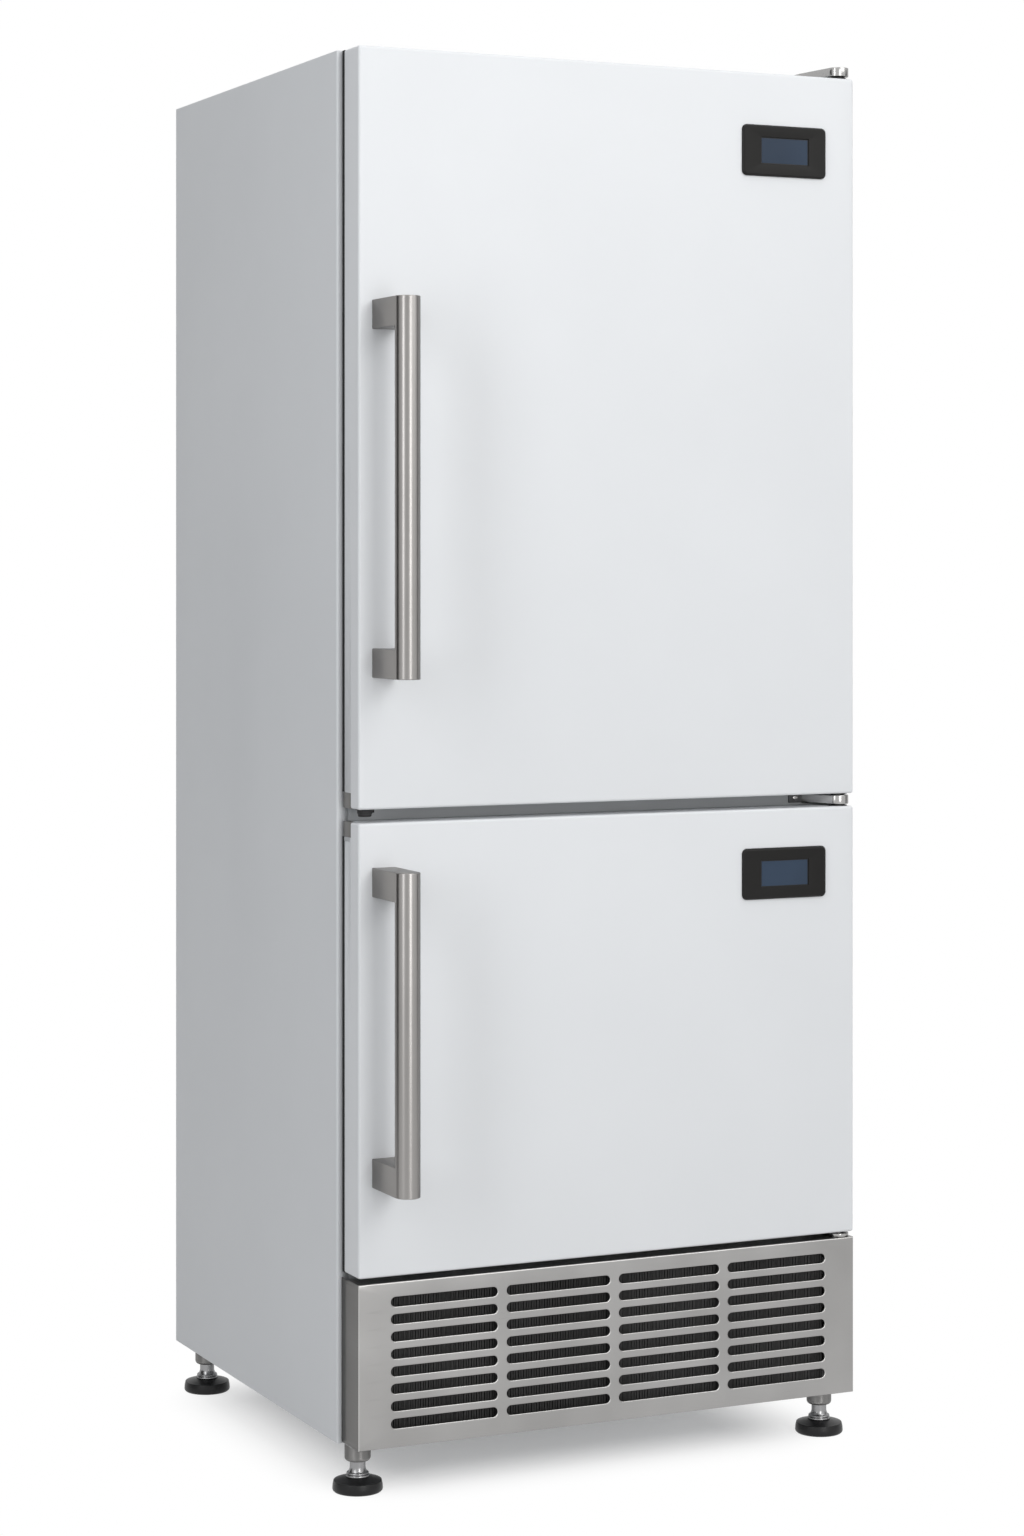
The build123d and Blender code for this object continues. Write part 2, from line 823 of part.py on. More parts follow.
def pilaster_rows():
    """Depths of the front and back pilasters."""
    return shelf_front + pilaster_inset, shelf_back - pilaster_inset


def pilasters(floor, ceiling):
    """Four slotted strips that carry the shelf clips of one compartment."""
    z0 = floor + pilaster_margin
    z1 = ceiling - pilaster_margin
    count = int((z1 - z0 - pilaster_margin) / pilaster_slot_pitch)
    strips = []
    for y in pilaster_rows():
        strip = block(
            -room_half, -room_half + pilaster_thickness, y - pilaster_width / 2,
            y + pilaster_width / 2, z0, z1,
        )
        slots = []
        for offset in centred(count, pilaster_slot_pitch):
            z = (z0 + z1) / 2 + offset
            slots.append(
                block(
                    -room_half + liner_sheet, -room_half + pilaster_thickness + through,
                    y - pilaster_slot_width / 2, y + pilaster_slot_width / 2,
                    z - pilaster_slot_height / 2, z + pilaster_slot_height / 2,
                )
            )
        strip -= slots
        strips += [strip, mirrored(strip)]
    return strips


def shelf_clips(z):
    """Four clips under one shelf: a plate on the pilaster and a ledge."""
    face = -room_half + pilaster_thickness
    clips = []
    for y in pilaster_rows():
        y0 = y - pilaster_width / 2
        y1 = y + pilaster_width / 2
        clip = block(face, face + shelf_side_gap, y0, y1, z - clip_height, z)
        clip += block(face, face + clip_reach, y0, y1, z - clip_sheet, z)
        clips += [clip, mirrored(clip)]
    return clips


# Cooling
def fan_blade(radius):
    """Flat blade along X, wider towards its straight tip and tilted about its own length."""
    root = fan_hub - blade_rooting
    reach = sqrt(radius ** 2 - (blade_tip_chord / 2) ** 2)
    outline = Polyline(
        (root, -blade_root_chord / 2),
        (reach, -blade_tip_chord / 2),
        (reach, blade_tip_chord / 2),
        (root, blade_root_chord / 2),
        close=True,
    )
    return Rot(X=blade_pitch) * extrude(make_face(outline), blade_thickness / 2, both=True)


def impeller(radius):
    """Axial fan about Z: a hub on a shaft bore, with blades whose tips are cut straight."""
    fan = prism("Z", (0, 0), -fan_depth / 2, fan_depth / 2, fan_hub, hole_flat_count)
    blade = fan_blade(radius)
    fan = fan.fuse(*[Rot(Z=i * 360 / fan_blades) * blade for i in range(fan_blades)])
    return fan - Cylinder(motor_shaft_radius + running_clearance, 2 * fan_depth)


def fan_motor():
    """Motor about Z behind its fan, with the shaft that the fan turns on."""
    base = -fan_depth / 2 - motor_gap - motor_depth
    body = prism("Z", (0, 0), base, base + motor_depth, motor_radius, hole_flat_count)
    return body + rod("Z", (0, 0), base + motor_depth, fan_depth / 2, motor_shaft_radius)


def finned_coil(half, depth, height, fins):
    """Coil between two end plates, with upright fins along its front; it stands on Z = 0."""
    root = coil_fin_depth - depth / 2
    outline = Pos(0, (root + depth / 2) / 2) * Rectangle(2 * half, depth / 2 - root)
    for side in (-1, 1):
        outline += Pos(side * (half - end_plate / 2), 0) * Rectangle(end_plate, depth)
    for x in centred(fins, 2 * (half - end_plate) / (fins + 1)):
        outline += Pos(x, (root - depth / 2) / 2) * Rectangle(coil_fin, coil_fin_depth)
    return extrude(outline, height)


def room_fan_place(ceiling):
    """Middle of the fan in an evaporator cover."""
    depth = cover_front + cover_sheet + motor_gap + fan_depth / 2
    return Pos(0, depth, ceiling - cover_drop - fan_offset) * Rot(X=90)


def evaporator_cover(ceiling):
    """Formed cover on the back wall, with a fan ring above and return-air slots below."""
    half = cover_width / 2
    top = ceiling - cover_drop
    bottom = top - cover_height
    cover = block(-half, half, cover_front, room_back, bottom, top)
    cover = fillet(cover.edges().filter_by(Axis.Y), cover_radius)
    cover -= block(
        -half + cover_sheet, half - cover_sheet, cover_front + cover_sheet, room_back + through,
        bottom + cover_sheet, top - cover_sheet,
    )
    z = top - fan_offset
    ring_radius = room_fan_radius + fan_tip_gap
    cover -= prism(
        "Y", (0, z), cover_front - through, cover_front + through, ring_radius, ring_flat_count,
    )
    slots = []
    for x in centred(intake_slots, intake_slot_pitch):
        slots.append(
            block(
                x - intake_slot_width / 2, x + intake_slot_width / 2, cover_front - through,
                cover_front + through, bottom + cover_radius, bottom + cover_radius + intake_slot_height,
            )
        )
    return cover - slots


def evaporator_place(ceiling):
    """Foot of the cooling coil, on the back wall behind the return-air slots of its cover."""
    bottom = ceiling - cover_drop - cover_height + 2 * cover_sheet
    return Pos(0, room_back - evaporator_depth / 2, bottom)


def room_motor(ceiling):
    """Fan motor of a compartment, on a bar across the inside of the cover."""
    depth = room_fan_place(ceiling).position.Y + fan_depth / 2 + motor_gap + motor_depth
    z = ceiling - cover_drop - fan_offset
    post = block(
        -motor_radius / 2, motor_radius / 2, depth, room_back, z - motor_radius / 2, z + motor_radius / 2,
    )
    return room_fan_place(ceiling) * fan_motor() + post


def cable_port():
    """Square block through the back wall, with a round bore for probe cables."""
    bore = rod("Y", port_place(), room_back - through, cabinet_back + through, port_bore_radius)
    return port_block(room_back, cabinet_back) - bore


# Machine compartment
def condenser():
    """Finned condenser behind the plinth slots, standing on the base pan."""
    bottom = cabinet_bottom + pan_sheet
    height = plinth_top - plinth_sheet - deck_gap - bottom
    coil = finned_coil(
        door_half - condenser_side_gap, condenser_depth, height, condenser_fins,
    )
    middle = door_front + condenser_setback + condenser_depth / 2
    return Pos(0, middle, bottom) * coil


def shroud_front():
    """The shroud starts at the back of the condenser."""
    return door_front + condenser_setback + condenser_depth


def shroud_middle():
    """Height of the condenser fan's axis."""
    return (cabinet_bottom + pan_sheet + pan_lip + frame_bottom) / 2


def fan_shroud():
    """Pan behind the condenser that leads its air to the fan."""
    half = door_half - condenser_side_gap
    front = shroud_front()
    back = front + shroud_depth
    bottom = cabinet_bottom + pan_sheet + pan_lip
    top = frame_bottom - deck_gap
    pan = block(-half, half, front, back, bottom, top)
    pan -= block(
        -half + cover_sheet, half - cover_sheet, front - through, back - cover_sheet,
        bottom + cover_sheet, top - cover_sheet,
    )
    reach = shroud_fan_radius + fan_tip_gap
    return pan - prism(
        "Y", (0, shroud_middle()), back - through, back + through, reach, ring_flat_count,
    )


def condenser_fan_place():
    """Middle of the condenser fan, just behind the shroud."""
    depth = shroud_front() + shroud_depth + motor_gap + fan_depth / 2
    return Pos(0, depth, shroud_middle()) * Rot(X=90)


def condenser_motor():
    """Condenser fan motor on a foot that stands on the base pan."""
    depth = condenser_fan_place().position.Y + fan_depth / 2 + motor_gap
    foot = block(
        -motor_radius / 2, motor_radius / 2, depth + motor_gap, depth + motor_depth - motor_gap,
        cabinet_bottom + pan_sheet, shroud_middle() - motor_radius / 2,
    )
    return condenser_fan_place() * fan_motor() + foot


def compressor():
    """Hermetic compressor: a domed shell on a foot plate with four rubber grommets."""
    base = cabinet_bottom + pan_sheet + grommet_height
    top = base + compressor_height
    y = cabinet_back - compressor_setback
    half = compressor_foot_width / 2
    plate = block(
        -half, half, y - compressor_foot_depth / 2, y + compressor_foot_depth / 2,
        base, base + compressor_foot_sheet,
    )
    shell = [(compressor_radius, base)]
    for i in range(dome_ring_count + 1):
        angle = radians(90 * i / dome_ring_count)
        inset = compressor_dome * (1 - cos(angle))
        shell.append((compressor_radius - inset, top - compressor_dome * (1 - sin(angle))))
    body = plate + Pos(0, y, 0) * faceted(shell, shell_flat_count)
    for side in (-1, 1):
        for end in (-1, 1):
            place = (side * (half - grommet_inset), y + end * (compressor_foot_depth / 2 - grommet_inset))
            body += prism("Z", place, base - grommet_height, base, grommet_radius, grommet_flat_count)
    return body


def rear_grille():
    """Slotted sheet over the back of the machine compartment."""
    half = cabinet_half - sheet
    plate = block(
        -half, half, back_panel_front, back_panel_front + sheet, cabinet_bottom, plinth_top,
    )
    slots = []
    for x in centred(rear_slot_columns, rear_slot_length + rear_slot_gap):
        for row in range(rear_slot_rows):
            z = plinth_top - rear_slot_top_margin - row * rear_slot_pitch
            slots.append(
                block(
                    x - rear_slot_length / 2, x + rear_slot_length / 2, back_panel_front - through,
                    cabinet_back, z - rear_slot_height / 2, z + rear_slot_height / 2,
                )
            )
    plate -= slots
    x, z = inlet_place()
    return plate - block(
        x - inlet_body_width / 2, x + inlet_body_width / 2, back_panel_front - through, cabinet_back,
        z - inlet_body_height / 2, z + inlet_body_height / 2,
    )


def inlet_place():
    """Middle of the mains inlet on the rear grille."""
    return -cabinet_half + inlet_inset, plinth_top - inlet_drop


def mains_inlet():
    """Appliance inlet: a flange outside, a body inside and three flat blades in its recess."""
    x, z = inlet_place()
    face = back_panel_front + sheet
    half_width = inlet_body_width / 2
    half_height = inlet_body_height / 2
    body = block(
        x - inlet_width / 2, x + inlet_width / 2, face, cabinet_back,
        z - inlet_height / 2, z + inlet_height / 2,
    )
    front = cabinet_back - inlet_body_depth
    body += block(x - half_width, x + half_width, front, face, z - half_height, z + half_height)
    body -= block(
        x - half_width + inlet_wall, x + half_width - inlet_wall, front + inlet_wall,
        cabinet_back + through, z - half_height + inlet_wall, z + half_height - inlet_wall,
    )
    for i in (-1, 0, 1):
        bx = x + i * inlet_blade_pitch
        bz = z + (inlet_blade if i == 0 else 0)
        body += block(
            bx - inlet_blade / 2, bx + inlet_blade / 2, front + inlet_wall,
            front + inlet_wall + inlet_blade_length, bz - inlet_blade_height / 2,
            bz + inlet_blade_height / 2,
        )
    return body


def save_cabinet():
    """Outer panels, foam, liners, frame and hinges."""
    panel = side_panel()
    save("left_side_panel", panel)
    save("right_side_panel", mirrored(panel))
    save("top_panel", top_panel())
    save("back_panel", back_panel())
    save("insulation", *insulation())
    save("fridge_liner", fridge_liner())
    save("freezer_liner", liner(freezer_floor, freezer_ceiling))
    save("front_frame", front_frame())
    save("top_hinge", top_hinge())
    save("middle_hinge", middle_hinge())
    save("bottom_hinge", bottom_hinge())


def save_base():
    """Plinth, base pan, feet and the machine compartment."""
    save("plinth_grille", plinth_grille())
    save("base_pan", base_pan())
    save("rear_grille", rear_grille())
    save("mains_inlet", mains_inlet())
    save("condenser", condenser())
    save("condenser_fan_shroud", fan_shroud())
    save("condenser_fan", condenser_fan_place() * impeller(shroud_fan_radius))
    pump = compressor()
    save("fridge_compressor", Pos(-compressor_spacing / 2, 0, 0) * pump)
    save("freezer_compressor", Pos(compressor_spacing / 2, 0, 0) * pump)
    sleeves = []
    for depth, y in zip(("front", "back"), foot_rows):
        for side, x in (("left", -foot_x), ("right", foot_x)):
            sleeves.append(leg_sleeve(x, y))
            save(f"{depth}_{side}_foot_spindle", foot_spindle(x, y))
            save(f"{depth}_{side}_foot_pad", foot_pad(x, y))
    save("leg_sleeves", *sleeves)


def save_rooms():
    """Shelves, their carriers and the cooling of both compartments."""
    rooms = (
        ("fridge", fridge_floor, fridge_ceiling, fridge_shelf_count),
        ("freezer", freezer_floor, freezer_ceiling, freezer_shelf_count),
    )
    strips = []
    clips = []
    motors = [condenser_motor()]
    shelf = wire_shelf()
    coil = finned_coil(
        evaporator_width / 2, evaporator_depth, evaporator_height, evaporator_fins,
    )
    fan = impeller(room_fan_radius)
    for name, floor, ceiling, count in rooms:
        strips += pilasters(floor, ceiling)
        for i, z in enumerate(shelf_levels(floor, ceiling, count)):
            save(f"{name}_shelf_{i + 1}", Pos(0, 0, z) * shelf)
            clips += shelf_clips(z)
        save(f"{name}_evaporator", evaporator_place(ceiling) * coil)
        save(f"{name}_evaporator_cover", evaporator_cover(ceiling))
        save(f"{name}_fan", room_fan_place(ceiling) * fan)
        motors.append(room_motor(ceiling))
    save("shelf_pilasters", *strips)
    save("shelf_clips", *clips)
    save("fan_motors", *motors)
    save("cable_port", cable_port())


def save_doors():
    """Both doors with everything that turns with them."""
    doors = (
        ("upper", upper_door_bottom, upper_door_top, upper_bezel_drop, upper_handle_lift,
         upper_handle_length, True),
        ("lower", lower_door_bottom, lower_door_top, lower_bezel_drop, lower_handle_lift,
         lower_handle_length, False),
    )
    for name, bottom, top, drop, lift, length, is_upper in doors:
        save(f"{name}_door_skin", door_skin(bottom, top, drop, is_upper))
        save(f"{name}_door_liner", door_liner(bottom, top))
        save(f"{name}_door_gasket", gasket(bottom, top))
        save(f"{name}_display_bezel", display_bezel(top, drop))
        save(f"{name}_display_screen", display_screen(top, drop))
        save(f"{name}_handle", handle(bottom + lift, length))
        save(f"{name}_corner_block", corner_block(bottom, top, is_upper))
    middle_lip = (middle_gap - arm_thickness) / 2 - bearing_gap
    save(
        "upper_door_bushes",
        bush(upper_door_top, -1, top_arm_gap - bearing_gap),
        bush(upper_door_bottom, 1, middle_lip),
        spare_hole_plug(),
    )
    save(
        "lower_door_bushes",
        bush(lower_door_top, -1, middle_lip),
        bush(lower_door_bottom, 1, bottom_bush_reach()),
    )


save_cabinet()
save_base()
save_rooms()
save_doors()
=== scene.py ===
import json
import math
import bmesh
import bpy
import numpy as np
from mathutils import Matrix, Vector


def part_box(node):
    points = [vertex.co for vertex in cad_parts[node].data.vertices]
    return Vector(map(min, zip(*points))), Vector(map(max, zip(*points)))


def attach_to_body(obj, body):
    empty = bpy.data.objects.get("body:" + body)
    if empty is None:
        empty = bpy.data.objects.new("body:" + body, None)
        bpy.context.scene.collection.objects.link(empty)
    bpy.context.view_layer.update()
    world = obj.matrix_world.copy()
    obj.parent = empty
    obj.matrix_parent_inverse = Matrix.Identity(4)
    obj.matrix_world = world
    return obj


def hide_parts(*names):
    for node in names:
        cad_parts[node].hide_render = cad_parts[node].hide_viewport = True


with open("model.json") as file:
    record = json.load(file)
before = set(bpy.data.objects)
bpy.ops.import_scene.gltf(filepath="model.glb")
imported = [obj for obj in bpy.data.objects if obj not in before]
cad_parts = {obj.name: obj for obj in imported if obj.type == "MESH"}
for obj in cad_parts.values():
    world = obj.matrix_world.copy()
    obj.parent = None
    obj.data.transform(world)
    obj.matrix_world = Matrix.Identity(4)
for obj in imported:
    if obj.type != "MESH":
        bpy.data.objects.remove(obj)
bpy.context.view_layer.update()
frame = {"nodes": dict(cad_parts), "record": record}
mm = 0.001  # every size below is in millimetres unless it says otherwise
print("frame loaded:", len(frame["nodes"]), "CAD nodes")

# camera: it stands where the photograph was taken, level, with the lens shifted down; its place is in metres
cameraSettings = {"place": (-1.9554, -4.1758, 1.1891), "tilt": 90, "turn": -24.96, "lens": 78.28,
                  "sensor": 36, "shiftY": -0.1375, "clipEnd": 200}
cameraData = bpy.data.cameras.new("photoCamera")
cameraData.lens = cameraSettings["lens"]
cameraData.sensor_width = cameraSettings["sensor"]
cameraData.shift_y = cameraSettings["shiftY"]
cameraData.clip_end = cameraSettings["clipEnd"]
camera = bpy.data.objects.new("photoCamera", cameraData)
camera.location = cameraSettings["place"]
camera.rotation_euler = (math.radians(cameraSettings["tilt"]), 0, math.radians(cameraSettings["turn"]))
bpy.context.scene.collection.objects.link(camera)
bpy.context.scene.camera = camera
bpy.context.scene.view_settings.view_transform = "Standard"


# mesh helpers: a lump is (points, list of face index arrays), and a piece is one or more lumps
def gridLump(points, closedU=False, closedV=False, capStart=False, capEnd=False):
    # points[u, v] is a grid of places; neighbours join into quads, rows or columns may close on themselves,
    # and a cap is one flat face over the first or last row
    rows, columns = points.shape[:2]
    index = np.arange(rows * columns).reshape(rows, columns)
    a = index if closedU else index[:-1]
    b = np.roll(index, -1, 0) if closedU else index[1:]
    if closedV:
        quads = np.stack([a, b, np.roll(b, -1, 1), np.roll(a, -1, 1)], -1)
    else:
        quads = np.stack([a[:, :-1], b[:, :-1], b[:, 1:], a[:, 1:]], -1)
    faces = [quads.reshape(-1, 4)]
    if capStart:
        faces.append(index[0][None, :])
    if capEnd:
        faces.append(index[-1][::-1][None, :])
    return points.reshape(-1, 3), faces


def solidLump(loops):
    # closed loops joined in their order, with a flat face over the first and the last
    return gridLump(np.array(loops), closedV=True, capStart=True, capEnd=True)


def standing(flat, depth):
    # places (x, z) stood up at a depth y, which is one number or one for each row
    return np.stack([flat[..., 0], np.broadcast_to(depth, flat.shape[:-1]), flat[..., 1]], -1)


def makePiece(name, lumps, material, weld=0.0, smoothAngle=35, recalc=True):
    # puts all lumps into one mesh with foreach_set, welds near points, turns faces outwards, shades by angle
    points = np.concatenate([lump[0] for lump in lumps])
    starts = np.cumsum([0] + [len(lump[0]) for lump in lumps])
    loopLists = [array + start for lump, start in zip(lumps, starts) for array in lump[1]]
    loops = np.concatenate([array.ravel() for array in loopLists])
    sizes = np.concatenate([np.full(len(array), array.shape[1]) for array in loopLists])
    mesh = bpy.data.meshes.new(name)
    mesh.vertices.add(len(points))
    mesh.vertices.foreach_set("co", points.astype(np.float32).ravel())
    mesh.loops.add(len(loops))
    mesh.loops.foreach_set("vertex_index", loops.astype(np.int32))
    mesh.polygons.add(len(sizes))
    mesh.polygons.foreach_set("loop_start", (np.cumsum(sizes) - sizes).astype(np.int32))
    mesh.update(calc_edges=True)
    mesh.validate()
    if weld or recalc:
        work = bmesh.new()
        work.from_mesh(mesh)
        if weld:
            bmesh.ops.remove_doubles(work, verts=work.verts, dist=weld)
        if recalc:
            bmesh.ops.recalc_face_normals(work, faces=work.faces)
        work.to_mesh(mesh)
        work.free()
    mesh.polygons.foreach_set("use_smooth", np.ones(len(mesh.polygons), bool))
    mesh.set_sharp_from_angle(angle=math.radians(smoothAngle))
    piece = bpy.data.objects.new(name, mesh)
    bpy.context.scene.collection.objects.link(piece)
    piece.data.materials.append(material)
    return piece


def faceValues(mesh, key, width):
    # what each face holds under the key, one row for each face
    values = np.empty(len(mesh.polygons) * width)
    mesh.polygons.foreach_get(key, values)
    return values.reshape(-1, width)


def turnOutwards(piece, inner):
    # an open sheet's faces look away from a place behind it; if most don't, all are turned round
    mesh = piece.data
    away = ((faceValues(mesh, "center", 3) - np.array(inner)) * faceValues(mesh, "normal", 3)).sum(1)
    if (away * faceValues(mesh, "area", 1)[:, 0]).sum() < 0:
        mesh.flip_normals()


def finishFaces(piece, material, pick):
    # gives a second material to the faces that pick chooses by their centres, normals and areas
    mesh = piece.data
    mesh.materials.append(material)
    centres, normals = faceValues(mesh, "center", 3), faceValues(mesh, "normal", 3)
    chosen = pick(centres, normals, faceValues(mesh, "area", 1)[:, 0])
    index = np.empty(len(mesh.polygons), np.int32)
    mesh.polygons.foreach_get("material_index", index)
    index[chosen] = len(mesh.materials) - 1
    mesh.polygons.foreach_set("material_index", index)
    mesh.update()


def addSolidify(piece, thickness):
    # gives a sheet its thickness, inwards
    modifier = piece.modifiers.new("thickness", "SOLIDIFY")
    modifier.thickness = thickness
    modifier.offset = -1


def attach(piece, body, slot, *nodes):
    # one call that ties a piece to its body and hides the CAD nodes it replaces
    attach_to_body(piece, body)
    if nodes:
        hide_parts(*nodes)


def circleLoop(count):
    # unit circle as (count, 2)
    angle = np.linspace(0, 2 * np.pi, count, endpoint=False)
    return np.stack([np.cos(angle), np.sin(angle)], -1)


def latheLump(profile, centre, count=64, axis="z", closed=False):
    # a profile of (radius, distance along the axis) turned about the axis through centre
    profile = np.asarray(profile, float)
    flat = profile[:, :1, None] * circleLoop(count)[None]
    points = standing(flat, profile[:, 1:])
    if axis == "z":
        points = points[..., [0, 2, 1]]
    return gridLump(points + np.asarray(centre, float), closedU=closed, closedV=True,
                    capStart=not closed, capEnd=not closed)


def roundedLoop(xMin, xMax, zMin, zMax, radius, steps=6):
    # outline of a rectangle with round corners: corner centre plus radius times a turning direction
    turn = np.linspace(0, np.pi / 2, steps + 1)
    corners = [(xMax - radius, zMax - radius, 0), (xMin + radius, zMax - radius, 1),
               (xMin + radius, zMin + radius, 2), (xMax - radius, zMin + radius, 3)]
    parts = []
    for x, z, k in corners:
        angle = turn + k * np.pi / 2
        parts.append(np.stack([x + radius * np.cos(angle), z + radius * np.sin(angle)], -1))
    return np.concatenate(parts)


def roundedLevels(low, high, edge, steps):
    # inset and height of each loop of a wall whose bottom and top edges are quarter circles
    arc = np.linspace(0, np.pi / 2, steps + 1)
    inset = edge * (1 - np.sin(arc))
    drop = edge * (1 - np.cos(arc))
    return zip(np.concatenate([inset, inset[::-1]]), np.concatenate([low + drop, high - drop[::-1]]))


def blockLump(low, high, radius, edge=None):
    # a box whose upright corners have the radius and whose top and bottom edges are rounded by edge
    loops = []
    for gap, level in roundedLevels(low[2], high[2], radius if edge is None else edge, 4):
        corner = max(radius - gap, 0.01 * mm)
        flat = roundedLoop(low[0] + gap, high[0] - gap, low[1] + gap, high[1] - gap, corner, 4)
        loops.append(np.column_stack([flat, np.full(len(flat), level)]))
    return solidLump(loops)


def tubeLump(path, radius, count=10, closed=False):
    # a circle carried along a path: at each point the circle stands square to the path's direction
    path = np.asarray(path, float)
    if closed:
        ahead = np.roll(path, -1, 0) - np.roll(path, 1, 0)
    else:
        ahead = np.gradient(path, axis=0)
    ahead /= np.linalg.norm(ahead, axis=1, keepdims=True)
    guide = np.where(np.abs(ahead[:, 2:3]) > 0.9, np.array([[0.0, 1.0, 0.0]]), np.array([[0.0, 0.0, 1.0]]))
    side = np.cross(ahead, guide)
    side /= np.linalg.norm(side, axis=1, keepdims=True)
    up = np.cross(side, ahead)
    ring = circleLoop(count) * radius
    points = path[:, None] + ring[None, :, :1] * side[:, None] + ring[None, :, 1:] * up[:, None]
    return gridLump(points, closedU=closed, closedV=True, capStart=not closed, capEnd=not closed)


def outlineNormals(outline):
    # outward mitre direction at each corner of a counterclockwise outline
    before = outline - np.roll(outline, 1, 0)
    after = np.roll(outline, -1, 0) - outline
    n0 = np.stack([before[:, 1], -before[:, 0]], -1) / np.linalg.norm(before, axis=1, keepdims=True)
    n1 = np.stack([after[:, 1], -after[:, 0]], -1) / np.linalg.norm(after, axis=1, keepdims=True)
    total = n0 + n1
    return total / np.maximum((total * n0).sum(1, keepdims=True), 0.3)


def plateLump(outline, low, high, edge, steps=3):
    # an outline in plan carried up from low to high, its top and bottom edges rounded by edge
    normals = outlineNormals(outline)
    return solidLump([np.column_stack([outline - normals * gap, np.full(len(outline), level)])
                      for gap, level in roundedLevels(low, high, edge, steps)])


def ends(node):
    # a CAD node's lowest and highest corners as arrays
    low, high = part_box(node)
    return np.array(low), np.array(high)


# materials
def addNode(tree, kind, values=None, sources=None):
    # a shader node with its even values set on its sockets, and the sources linked to its other inputs
    node = tree.nodes.new(f"ShaderNode{kind}")
    for socket, value in (values or {}).items():
        node.inputs[socket].default_value = value
    for socket, source in (sources or {}).items():
        tree.links.new(source, node.inputs[socket])
    return node


def newMaterial(name, colour, roughness, metallic=0.0, specular=0.5):
    # a Principled material with its even values set on the shader itself
    material = bpy.data.materials.new(name)
    material.use_nodes = True
    shader = material.node_tree.nodes["Principled BSDF"]
    shader.inputs["Base Color"].default_value = (*colour, 1)
    shader.inputs["Roughness"].default_value = roughness
    shader.inputs["Metallic"].default_value = metallic
    shader.inputs["Specular IOR Level"].default_value = specular
    return material, shader


def addNoise(shader, scale, stretch=(1, 1, 1), detail=3):
    # noise on Object coordinates, stretched to give streaks
    tree = shader.id_data
    place = addNode(tree, "TexCoord")
    mapping = addNode(tree, "Mapping", {"Scale": stretch}, {"Vector": place.outputs["Object"]})
    noise = addNode(tree, "TexNoise", {"Scale": scale, "Detail": detail, "Roughness": 0.55},
                    {"Vector": mapping.outputs["Vector"]})
    return noise.outputs["Fac"]


def driveColour(shader, factor, dark, light, low=0.3, high=0.7):
    # colour runs from dark to light while the factor runs from low to high
    tree = shader.id_data
    ramp = addNode(tree, "ValToRGB", sources={"Fac": factor})
    ramp.color_ramp.elements[0].position = low
    ramp.color_ramp.elements[0].color = (*dark, 1)
    ramp.color_ramp.elements[1].position = high
    ramp.color_ramp.elements[1].color = (*light, 1)
    tree.links.new(ramp.outputs["Color"], shader.inputs["Base Color"])


def driveRoughness(shader, factor, low, high):
    # roughness runs from low to high with the factor
    tree = shader.id_data
    span = addNode(tree, "MapRange", {"To Min": low, "To Max": high}, {"Value": factor})
    tree.links.new(span.outputs["Result"], shader.inputs["Roughness"])


def driveBump(shader, factor, strength, distance):
    # the factor lifts the surface by distance, in metres
    tree = shader.id_data
    bump = addNode(tree, "Bump", {"Strength": strength, "Distance": distance}, {"Height": factor})
    tree.links.new(bump.outputs["Normal"], shader.inputs["Normal"])


# for each: colour, its spread, roughness from and to, the grain's scale and its depth in metres, specular
finishes = {
    "cabinetPaint": ((0.775, 0.792, 0.812), 0.012, (0.36, 0.46), 700, 0.00006, 0.28),
    "doorPaint": ((0.790, 0.806, 0.826), 0.010, (0.32, 0.42), 700, 0.00005, 0.4),
    "linerPlastic": ((0.78, 0.80, 0.81), 0.01, (0.28, 0.40), 300, 0.00005, 0.5),
    "framePlastic": ((0.52, 0.535, 0.55), 0.02, (0.45, 0.60), 500, 0.00005, 0.4),
    "coverPlastic": ((0.70, 0.72, 0.73), 0.012, (0.35, 0.5), 500, 0.00008, 0.5),
    "portPlastic": ((0.60, 0.61, 0.60), 0.02, (0.4, 0.55), 600, 0.00008, 0.5),
    "foamCore": ((0.66, 0.58, 0.38), 0.06, (0.8, 0.95), 260, 0.0006, 0.3),
    # the next one is dark paint that stands in for the shade between the doors, painted shade
    "hingeBase": ((0.10, 0.102, 0.105), 0.012, (0.35, 0.5), 600, 0.00005, 0.4),
    "blockPlastic": ((0.42, 0.435, 0.45), 0.02, (0.3, 0.45), 600, 0.00005, 0.4),
    # the next one is the outer seal's black rubber, which also stands in for the shade of the gap
    "sealRubber": ((0.012, 0.012, 0.013), 0.004, (0.55, 0.7), 500, 0.0001, 0.25),
    "blackPlastic": ((0.012, 0.012, 0.013), 0.004, (0.35, 0.5), 900, 0.00008, 0.35),
    "bezelPlastic": ((0.0125, 0.012, 0.0115), 0.002, (0.34, 0.42), 1500, 0.00004, 0.17),
    "gasketRubber": ((0.055, 0.058, 0.062), 0.015, (0.55, 0.7), 400, 0.0001, 0.3),
    "padRubber": ((0.005, 0.005, 0.0055), 0.002, (0.34, 0.46), 700, 0.00010, 0.32),
    "coilBlack": ((0.075, 0.074, 0.073), 0.03, (0.42, 0.62), 300, 0.00015, 0.3),
    "compressorBlack": ((0.012, 0.012, 0.013), 0.004, (0.22, 0.34), 240, 0.0001, 0.5),
    "fanPlastic": ((0.030, 0.032, 0.035), 0.008, (0.38, 0.5), 700, 0.00006, 0.4),
}
paintSettings = {"cloud": 4.5, "patches": 30, "lightShare": 0.6, "relief": 0.35}


